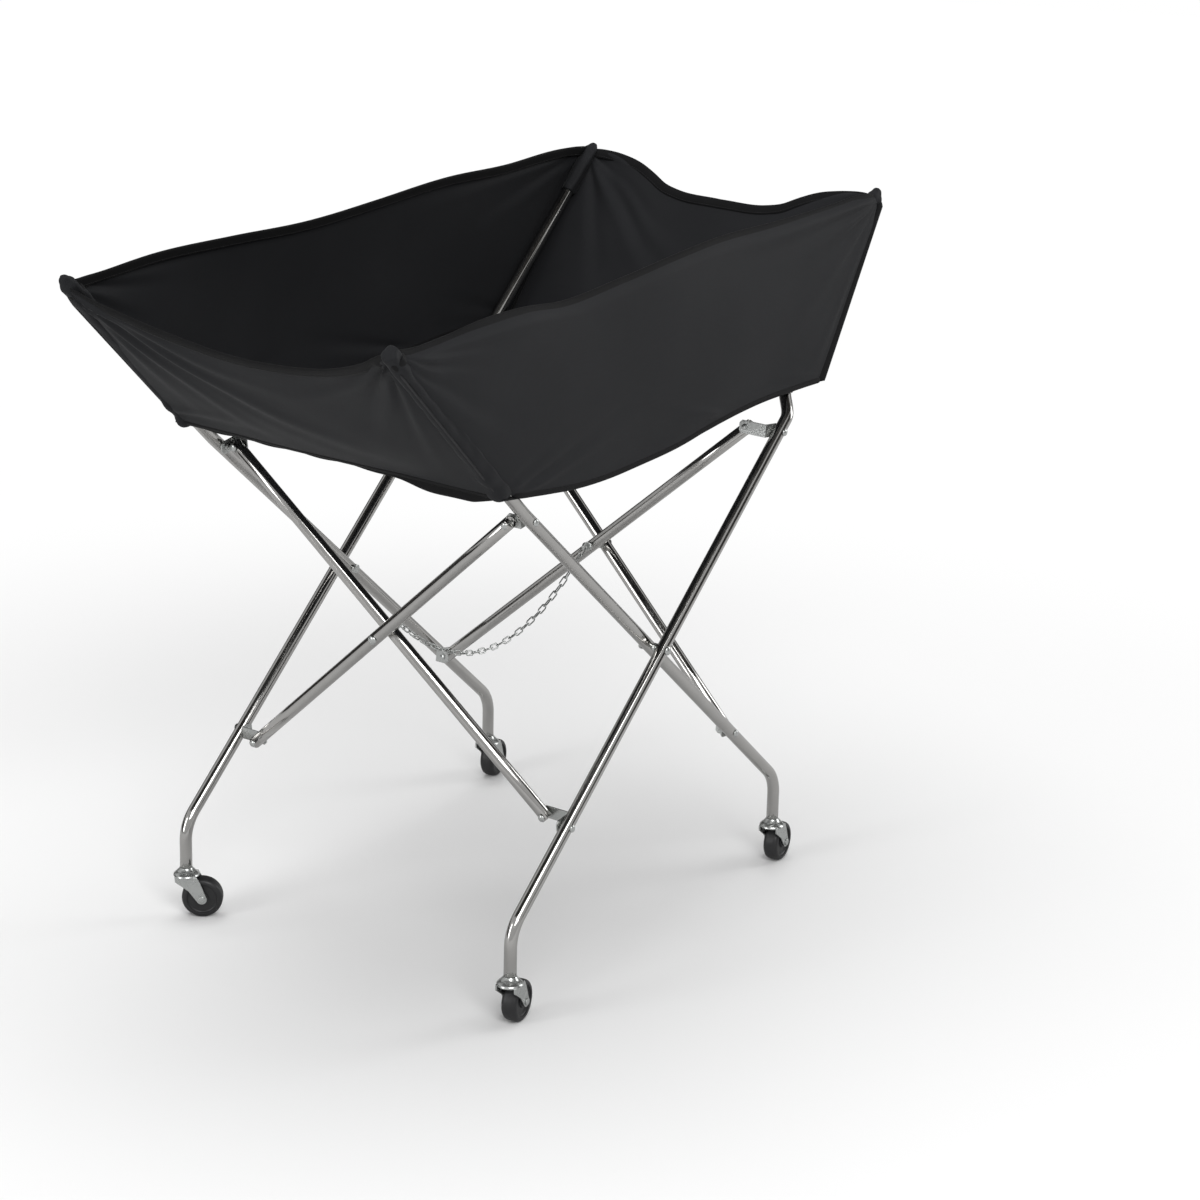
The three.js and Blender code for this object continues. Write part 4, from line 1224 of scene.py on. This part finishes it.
for side, word, body in ((-1, "left", "front_inner_leg"), (1, "right", "front_outer_leg")):
    share, rise = np.meshgrid(np.linspace(-1, 1, end_columns), np.linspace(0, 1, rows))
    x, y, z = end_point(side, share, rise)
    slope = math.atan2(rim_top - floor_height, rim_reach - floor_reach[word])
    out = np.array([side * math.sin(slope), 0, -math.cos(slope)])
    swell = end_swell * np.cos(math.pi * share / 2) * np.sin(math.pi * rise)
    climb = rise * end_height
    relief = fold_height(y, climb, end_folds[side]) + slow_waves(y, climb, end_waves, end_seed + side)
    relief *= faded(1 - np.abs(share), end_fade) * faded(rise, *low_fade)
    relief += pleats(gather_row - np.abs(y), climb - end_height, end_pleat)
    offset = swell + relief + end_lean[word] * rise
    grid = gathered(np.stack([x, y, z], axis=2) + out * offset[..., None])
    panel = cloth_panel(f"basket_{word}_panel", grid, nylon)
    trims = edge_band(f"basket_{word}_hem", grid, True, **end_hem)
    trims += edge_band(f"basket_{word}_seam", grid, False, **end_seam)
    along = share[0]
    droop = hem_droop[word] * np.exp(-((along - droop_place) / droop_spread) ** 2)
    droop = (droop + ripple * np.sin(along * ripple_rate)) * faded(1 + along, droop_fade) ** 0.6
    hem_line = grid[0] + np.array([0, 0, 1.0]) * (floor_hem_rise - droop / 2)[:, None]
    ways = np.tile([0, 0, 1.0], (end_columns, 1))
    trims.append(strip(
        f"basket_{word}_floor_hem", hem_line, ways, floor_hem_width + droop, floor_hem_thickness, nylon_painted_shade,
    ))
    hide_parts("basket_" + word)
    for piece in (panel, *trims):
        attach(piece, body)
        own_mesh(piece)
    sheets[word] = (panel, trims)


# Corners: the same nylon, gathered over each leg tip in a sewn cap. On the left it runs on as
# a loose sleeve down to the floor, with a piped seam; on the right the cap is short and a bound
# seam joins the two panels.
sleeve_wall = 0.0024
sleeve_reach = {"left": 0.316, "right": 0.075}
sleeve_rings = {"left": 110, "right": 30}
sleeve_sides = 44
sleeve_run = 0.30
cap_rise = {"left_front": 0.0050, "left_rear": 0.0165, "right_front": 0.0165, "right_rear": 0.0125}
cap_lift = 0.0008
finger_limit = 0.01
finger_taper = 0.28
lip = 0.012
least_gap = 0.0009
lip_gap = 0.0006
lumps = ((0.0056, 0.015, 0.011), (0.0024, 0.050, 0.012))
knots = ((0.0010, 0.030, 0.010), (-0.0005, 0.012, 0.005))
wrinkles = ((0.0003, 160, 2, 0), (0.0006, 22, 3, 1), (0.0006, 13, 5, 4))
sleeve_seed = 31
sleeve_slack = {"left": 0.0015, "right": 0.0005}
sleeve_widening = 0.0040
lump_back = 0.12
lump_front = 0.88
piping_width = 0.0024
piping_ends = (0.016, 0.026)
collar_drop = 0.016
collar_creep = ((0.0004, 5, 2), (0.0003, 9, 3))
collar_tilt = 0.0026
collar_tilt_turn = 0.6
collar_wave = 0.0006
corner_seam_end = 0.965
corner_seam_lap = 0.004
corner_seam_drop = 0.002
corner_seam_way = (0.3, 0.1)
corner_seam_widths = (0.019, 0.008)
corner_seam_thickness = 0.0040
seam_steps = 60
cuff_rise = 0.004


def corner_frame(leg):
    """A leg's tip, the direction up along it, and the directions across it and down from it."""
    before, tip = leg_path(leg)[-2:]
    lean = (tip - before).normalized()
    across = Vector((0, leg["side"], 0))
    across = (across - lean * across.dot(lean)).normalized()
    return tip, lean, across, Vector((lean.z * leg["top"], 0, -abs(lean.x)))


def bulges(place, heights):
    """Sum of round bulges, each of a height, a place and a width along the sleeve."""
    return sum(height * math.exp(-((place - middle) / width) ** 2) for height, middle, width in heights)


def sleeve_radius(distance, turn, word, phases):
    """The sleeve's radius before its ends are drawn in; the left sleeve is loose and lumpy."""
    depth = -distance
    size = tube_radius + sleeve_wall
    for height, along, around, phase in wrinkles:
        size += height * math.sin(around * turn + distance * along + phases[phase])
    size += bulges(depth, knots) * (1 + 0.5 * math.sin(4 * turn + phases[2]))
    loose = sleeve_slack[word]
    if word == "left":
        one_side = max(0.0, math.sin(turn + 0.3 * math.sin(phases[3])))
        size += bulges(sleeve_reach[word] - depth, lumps) * (lump_back + lump_front * one_side)
        loose += sleeve_widening * max(0.0, min(1.0, depth / sleeve_run))
    return size + loose * max(0.0, math.sin(turn)) ** 1.5


def sleeve_piece(name, leg, word, rounded, phases):
    """The gathered cloth tube over a leg's top, drawn in below and closed by a rounded cap."""
    tip, lean, across, down = corner_frame(leg)
    bottom = -sleeve_reach[word]
    mouth = bottom + lip * np.linspace(0, 1, 9) ** 1.6
    run = np.linspace(bottom + lip, 0, sleeve_rings[word])[1:]
    rings = [(stop, 1.0) for stop in (*mouth, *run)]
    for a in np.linspace(0.15, 1.5, 9):
        finger = 1 - finger_taper * min(1, math.sin(a) / 0.5) if rounded > finger_limit else 1
        rings.append((cap_lift + rounded * math.sin(a), finger * math.cos(a) ** 0.7))
    verts = []
    for distance, taper in rings:
        closing = math.sqrt(1 - (1 - min(1.0, (distance - bottom) / lip)) ** 2)
        for m in range(sleeve_sides):
            turn = 2 * math.pi * m / sleeve_sides
            size = max(sleeve_radius(distance, turn, word, phases), tube_radius + least_gap) * taper
            size = (tube_radius + lip_gap) * (1 - closing) + size * closing
            aside = across * (size * math.cos(turn)) + down * (size * math.sin(turn))
            verts.append(tip + lean * distance + aside)
    return outward(make_piece(name, verts, ring_faces(len(rings), sleeve_sides), nylon))


def piping_piece(name, leg):
    """The piping that runs down the outer side of a left sleeve, in a lighter grey that is painted highlight
    along the seam.
    """
    tip, lean, across, down = corner_frame(leg)
    line = []
    for distance in np.linspace(-sleeve_reach["left"] + piping_ends[0], -piping_ends[1], seam_steps):
        low = -distance / sleeve_run
        aside = down * (0.0112 + 0.0036 * low) + across * (0.0068 - 0.0014 * low)
        line.append(tip + lean * distance + aside)
    return strip(name, line, [tuple(across)] * seam_steps, piping_width, piping_width, nylon_painted_highlight, 8)


def collar_piece(name, leg, phases):
    """The uneven collar that gathers a left sleeve below its cap, in the darker nylon whose dark tone is
    painted shade of the gathers.
    """
    tip, lean, across, down = corner_frame(leg)
    base = tube_radius + sleeve_wall
    collar = turned_mesh(name, [
        (-0.0062, base - 0.0010), (-0.0056, base + 0.0006), (-0.0026, base + 0.0012),
        (0.0026, base + 0.0012), (0.0056, base + 0.0006), (0.0062, base - 0.0010), (0.0, base - 0.0014),
    ], tip - lean * collar_drop, lean, 48, nylon_painted_shade, looped=True)
    for vert in collar.data.vertices:
        arm = vert.co - tip
        arm -= lean * arm.dot(lean)
        turn = math.atan2(arm.dot(down), arm.dot(across))
        creep = sum(size * math.sin(around * turn + phases[phase]) for size, around, phase in collar_creep)
        tilt = collar_tilt * math.cos(turn - collar_tilt_turn) + collar_wave * math.sin(4 * turn)
        vert.co += arm.normalized() * creep + lean * tilt
    return collar


def corner_seam_piece(name, leg):
    """The bound seam that joins a long panel to the right end panel, narrower towards the rim."""
    line, ways = [], []
    for rise in np.linspace(0, corner_seam_end, seam_steps):
        x, y, z = end_point(1, leg["side"], rise)
        line.append((x - corner_seam_lap + corner_seam_lap * rise, y, z - corner_seam_drop))
        ways.append((corner_seam_way[0], leg["side"] * corner_seam_way[1], 0))
    widths = np.linspace(*corner_seam_widths, seam_steps)
    return strip(name, line, ways, widths, corner_seam_thickness, nylon_painted_shade, 14)


def floor_cuff_piece(name, leg):
    """The sewn cuff where a right leg passes through the basket's floor corner."""
    lean = corner_frame(leg)[1]
    at = next(p for p in leg_path(leg)[::-1] if p.z < floor_height + cuff_rise)
    return turned_mesh(name, [
        (-0.005, 0.0095), (0.004, 0.0091), (0.005, 0.0098), (0.0052, 0.0112), (0.004, 0.0120),
        (-0.002, 0.0122), (-0.005, 0.0118), (-0.0056, 0.0106),
    ], at, lean, 32, nylon_painted_shade, looped=True)


for name, leg in legs.items():
    word = "left" if leg["top"] < 0 else "right"
    row_word = "front" if leg["side"] < 0 else "rear"
    phases = np.random.default_rng(sleeve_seed + len(name)).uniform(0, 2 * math.pi, 5)
    rounded = cap_rise[word + "_" + row_word]
    pieces = [sleeve_piece(name.replace("leg", "sleeve"), leg, word, rounded, phases)]
    if word == "left":
        pieces.append(piping_piece(name.replace("leg", "piping"), leg))
        pieces.append(collar_piece(name.replace("leg", "collar"), leg, phases))
    else:
        pieces.append(corner_seam_piece(name.replace("leg", "corner_seam"), leg))
        pieces.append(floor_cuff_piece(name.replace("leg", "floor_cuff"), leg))
    for piece in pieces:
        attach(piece, leg["body"])


# Basket floor: two leaves of the same nylon, sewn together along the middle under a bound and
# stitched seam, and hanging slack between the long panels.
floor_sag = 0.036
leaf_columns = 180
leaf_rows = 60
leaf_waves = 0.0022
leaf_seed = 40
leaf_fade = {"edge": 0.1, "end": 0.05}
leaf_drop = 0.0008
middle_gap = 0.0005
seam_gauge = 0.004
seam_width = 0.012
seam_thickness = 0.0024
for side, word, body in ((-1, "front", "floor_front_leaf"), (1, "rear", "floor_rear_leaf")):
    share, depth = np.meshgrid(np.linspace(0, 1, leaf_columns), np.linspace(0, 1, leaf_rows))
    x = -floor_reach["left"] + (floor_reach["left"] + floor_reach["right"]) * share
    y = side * (floor_row * depth - middle_gap * (1 - depth))
    arch = np.sin(math.pi * share) * np.cos(math.pi * depth / 2)
    z = curve_through(bottom_line, share) * depth + floor_height * (1 - depth) - floor_sag * arch - leaf_drop
    still = faded(1 - depth, leaf_fade["edge"]) * faded(np.minimum(share, 1 - share), leaf_fade["end"])
    grid = np.stack([x, y, z + slow_waves(x, y, leaf_waves, leaf_seed) * still], axis=2)
    leaf = cloth_panel(f"floor_{word}_leaf_cloth", grid, nylon)
    ways = np.tile([0, 1.0, 0], (leaf_columns, 1))
    seam = strip(f"floor_{word}_seam", grid[0], ways, seam_width, seam_thickness, nylon_painted_shade)
    line = grid[0] + np.array([0, side * seam_gauge, seam_thickness / 2])
    seam_stitches = stitches(f"floor_{word}_seam_stitches", [line, line - np.array([0, 0, seam_thickness])])
    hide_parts("floor_" + word)
    for piece in (leaf, seam, seam_stitches):
        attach(piece, body)
        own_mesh(piece)
bpy.data.objects.remove(stitch_form)

for word, uprights, flat, area in (
    ("front", ["leg_front_inner", "leg_front_outer"], (1.13, 0.26), 0.235),
    ("rear", ["leg_rear_inner", "leg_rear_outer"], (1.13, 0.26), 0.235),
    ("left", ["leg_front_inner", "leg_rear_inner"], (0.54, 0.34), 0.138),
    ("right", ["leg_front_outer", "leg_rear_outer"], (0.54, 0.34), 0.144),
):
    panel, trims = sheets[word]


# Studio: a pale floor that runs out into plain white, broad soft lamps, and dark cards beside
# and above the cart that only reflections show. They give the chrome its dark bands.
floor_shade = 0.84
mirrored_floor_shade = 0.52
fade_start = 0.75
fade_end = 1.9
floor_radius = 8
floor_sides = 96
studio, tree, shader = new_material("studio_white", (floor_shade,) * 3, 0.9)
shader.inputs["Specular IOR Level"].default_value = 0.1
shader.inputs["Emission Color"].default_value = (1, 1, 1, 1)
place = add_node(tree, "ShaderNodeTexCoord")
span = add_node(tree, "ShaderNodeVectorMath", operation="LENGTH")
away = add_node(
    tree, "ShaderNodeMapRange", {"From Min": fade_start, "From Max": fade_end},
    interpolation_type="SMOOTHSTEP",
)
seen = add_node(tree, "ShaderNodeLightPath")
lit = add_node(tree, "ShaderNodeMath", operation="MULTIPLY")
ground = add_node(tree, "ShaderNodeMix", data_type="RGBA")
ground.inputs["A"].default_value = (*(floor_shade,) * 3, 1)
ground.inputs["B"].default_value = (*(mirrored_floor_shade,) * 3, 1)
tone = add_node(tree, "ShaderNodeMix", data_type="RGBA")
tone.inputs["B"].default_value = (0, 0, 0, 1)
wire(
    tree,
    (seen, "Is Glossy Ray", ground, "Factor"), (ground, "Result", tone, "A"),
    (place, "Object", span, 0), (span, "Value", away, "Value"), (away, "Result", lit, 0),
    (seen, "Is Camera Ray", lit, 1), (lit, "Value", tone, "Factor"),
    (tone, "Result", shader, "Base Color"), (lit, "Value", shader, "Emission Strength"),
)
turns = np.linspace(0, 2 * math.pi, floor_sides + 1)[:-1]
floor_edge = [(floor_radius * math.cos(a), floor_radius * math.sin(a), 0) for a in turns]
backdrop = make_piece("studio_floor", floor_edge, [tuple(range(floor_sides))], studio)

card_black = new_material("card_black", (0.03, 0.028, 0.026), 0.9)[0]
ceiling_half = 3.4
ceiling_height = 4.6
side_card_distance = 3.2
back_card_distance = 4.2
cards = {"ceiling": [
    Vector((x * ceiling_half, y * ceiling_half, ceiling_height))
    for x, y in ((-1, -1), (1, -1), (1, 1), (-1, 1))
]}
for word, bearing, distance, half, low, high in (
    ("left", math.radians(106), side_card_distance, 2.3, 0, 0.95),
    ("right", math.radians(292), side_card_distance, 0.7, 0, 3.4),
    ("back", yaw, back_card_distance, 4.62, 0.85, 3.7),
):
    out = Vector((math.cos(bearing), math.sin(bearing), 0))
    wide = Vector((-out.y, out.x, 0)) * half
    foot = [out * distance + wide + upward * low, out * distance - wide + upward * low]
    cards[word] = foot + [p + upward * high for p in foot[::-1]]
for word, spots in cards.items():
    card = make_piece(f"studio_card_{word}", spots, [(0, 1, 2, 3)], card_black, smooth=False)
    card.visible_camera = False
    card.visible_diffuse = False
    card.visible_shadow = False


def lamp(name, place, aim, size, power):
    """A soft rectangular lamp turned towards a point."""
    light = bpy.data.lights.new(name, "AREA")
    light.shape = "RECTANGLE"
    light.size, light.size_y = size
    light.energy = power
    thing = bpy.data.objects.new(name, light)
    thing.location = place
    thing.rotation_euler = (Vector(aim) - Vector(place)).to_track_quat("-Z", "Y").to_euler()
    scene.collection.objects.link(thing)
    return thing


cart_middle = (0, 0, 0.5)
lamp("key", (-2.6, -3.0, 3.6), cart_middle, (2.4, 2.4), 120)
lamp("top", (0.4, 0.6, 4.2), cart_middle, (3.6, 3.6), 110).visible_glossy = False
lamp("side", (3.6, -2.6, 1.8), cart_middle, (1.4, 2.6), 45)
lamp("left", (-4.2, 1.4, 1.6), cart_middle, (1.2, 2.4), 45)
mirrored_share = 0.25
lit_strength = 0.34
world = bpy.data.worlds.new("surround")
scene.world = world
world.use_nodes = True
tree = world.node_tree
surround = tree.nodes["Background"]
surround.inputs["Color"].default_value = (1, 1, 1, 1)
seen = add_node(tree, "ShaderNodeLightPath")
mirrored = add_node(tree, "ShaderNodeMath", {1: mirrored_share}, operation="MULTIPLY_ADD")
level = add_node(tree, "ShaderNodeMapRange", {"To Min": lit_strength, "To Max": 1.0})
wire(
    tree,
    (seen, "Is Glossy Ray", mirrored, 0), (seen, "Is Camera Ray", mirrored, 2),
    (mirrored, "Value", level, "Value"), (level, "Result", surround, "Strength"),
)
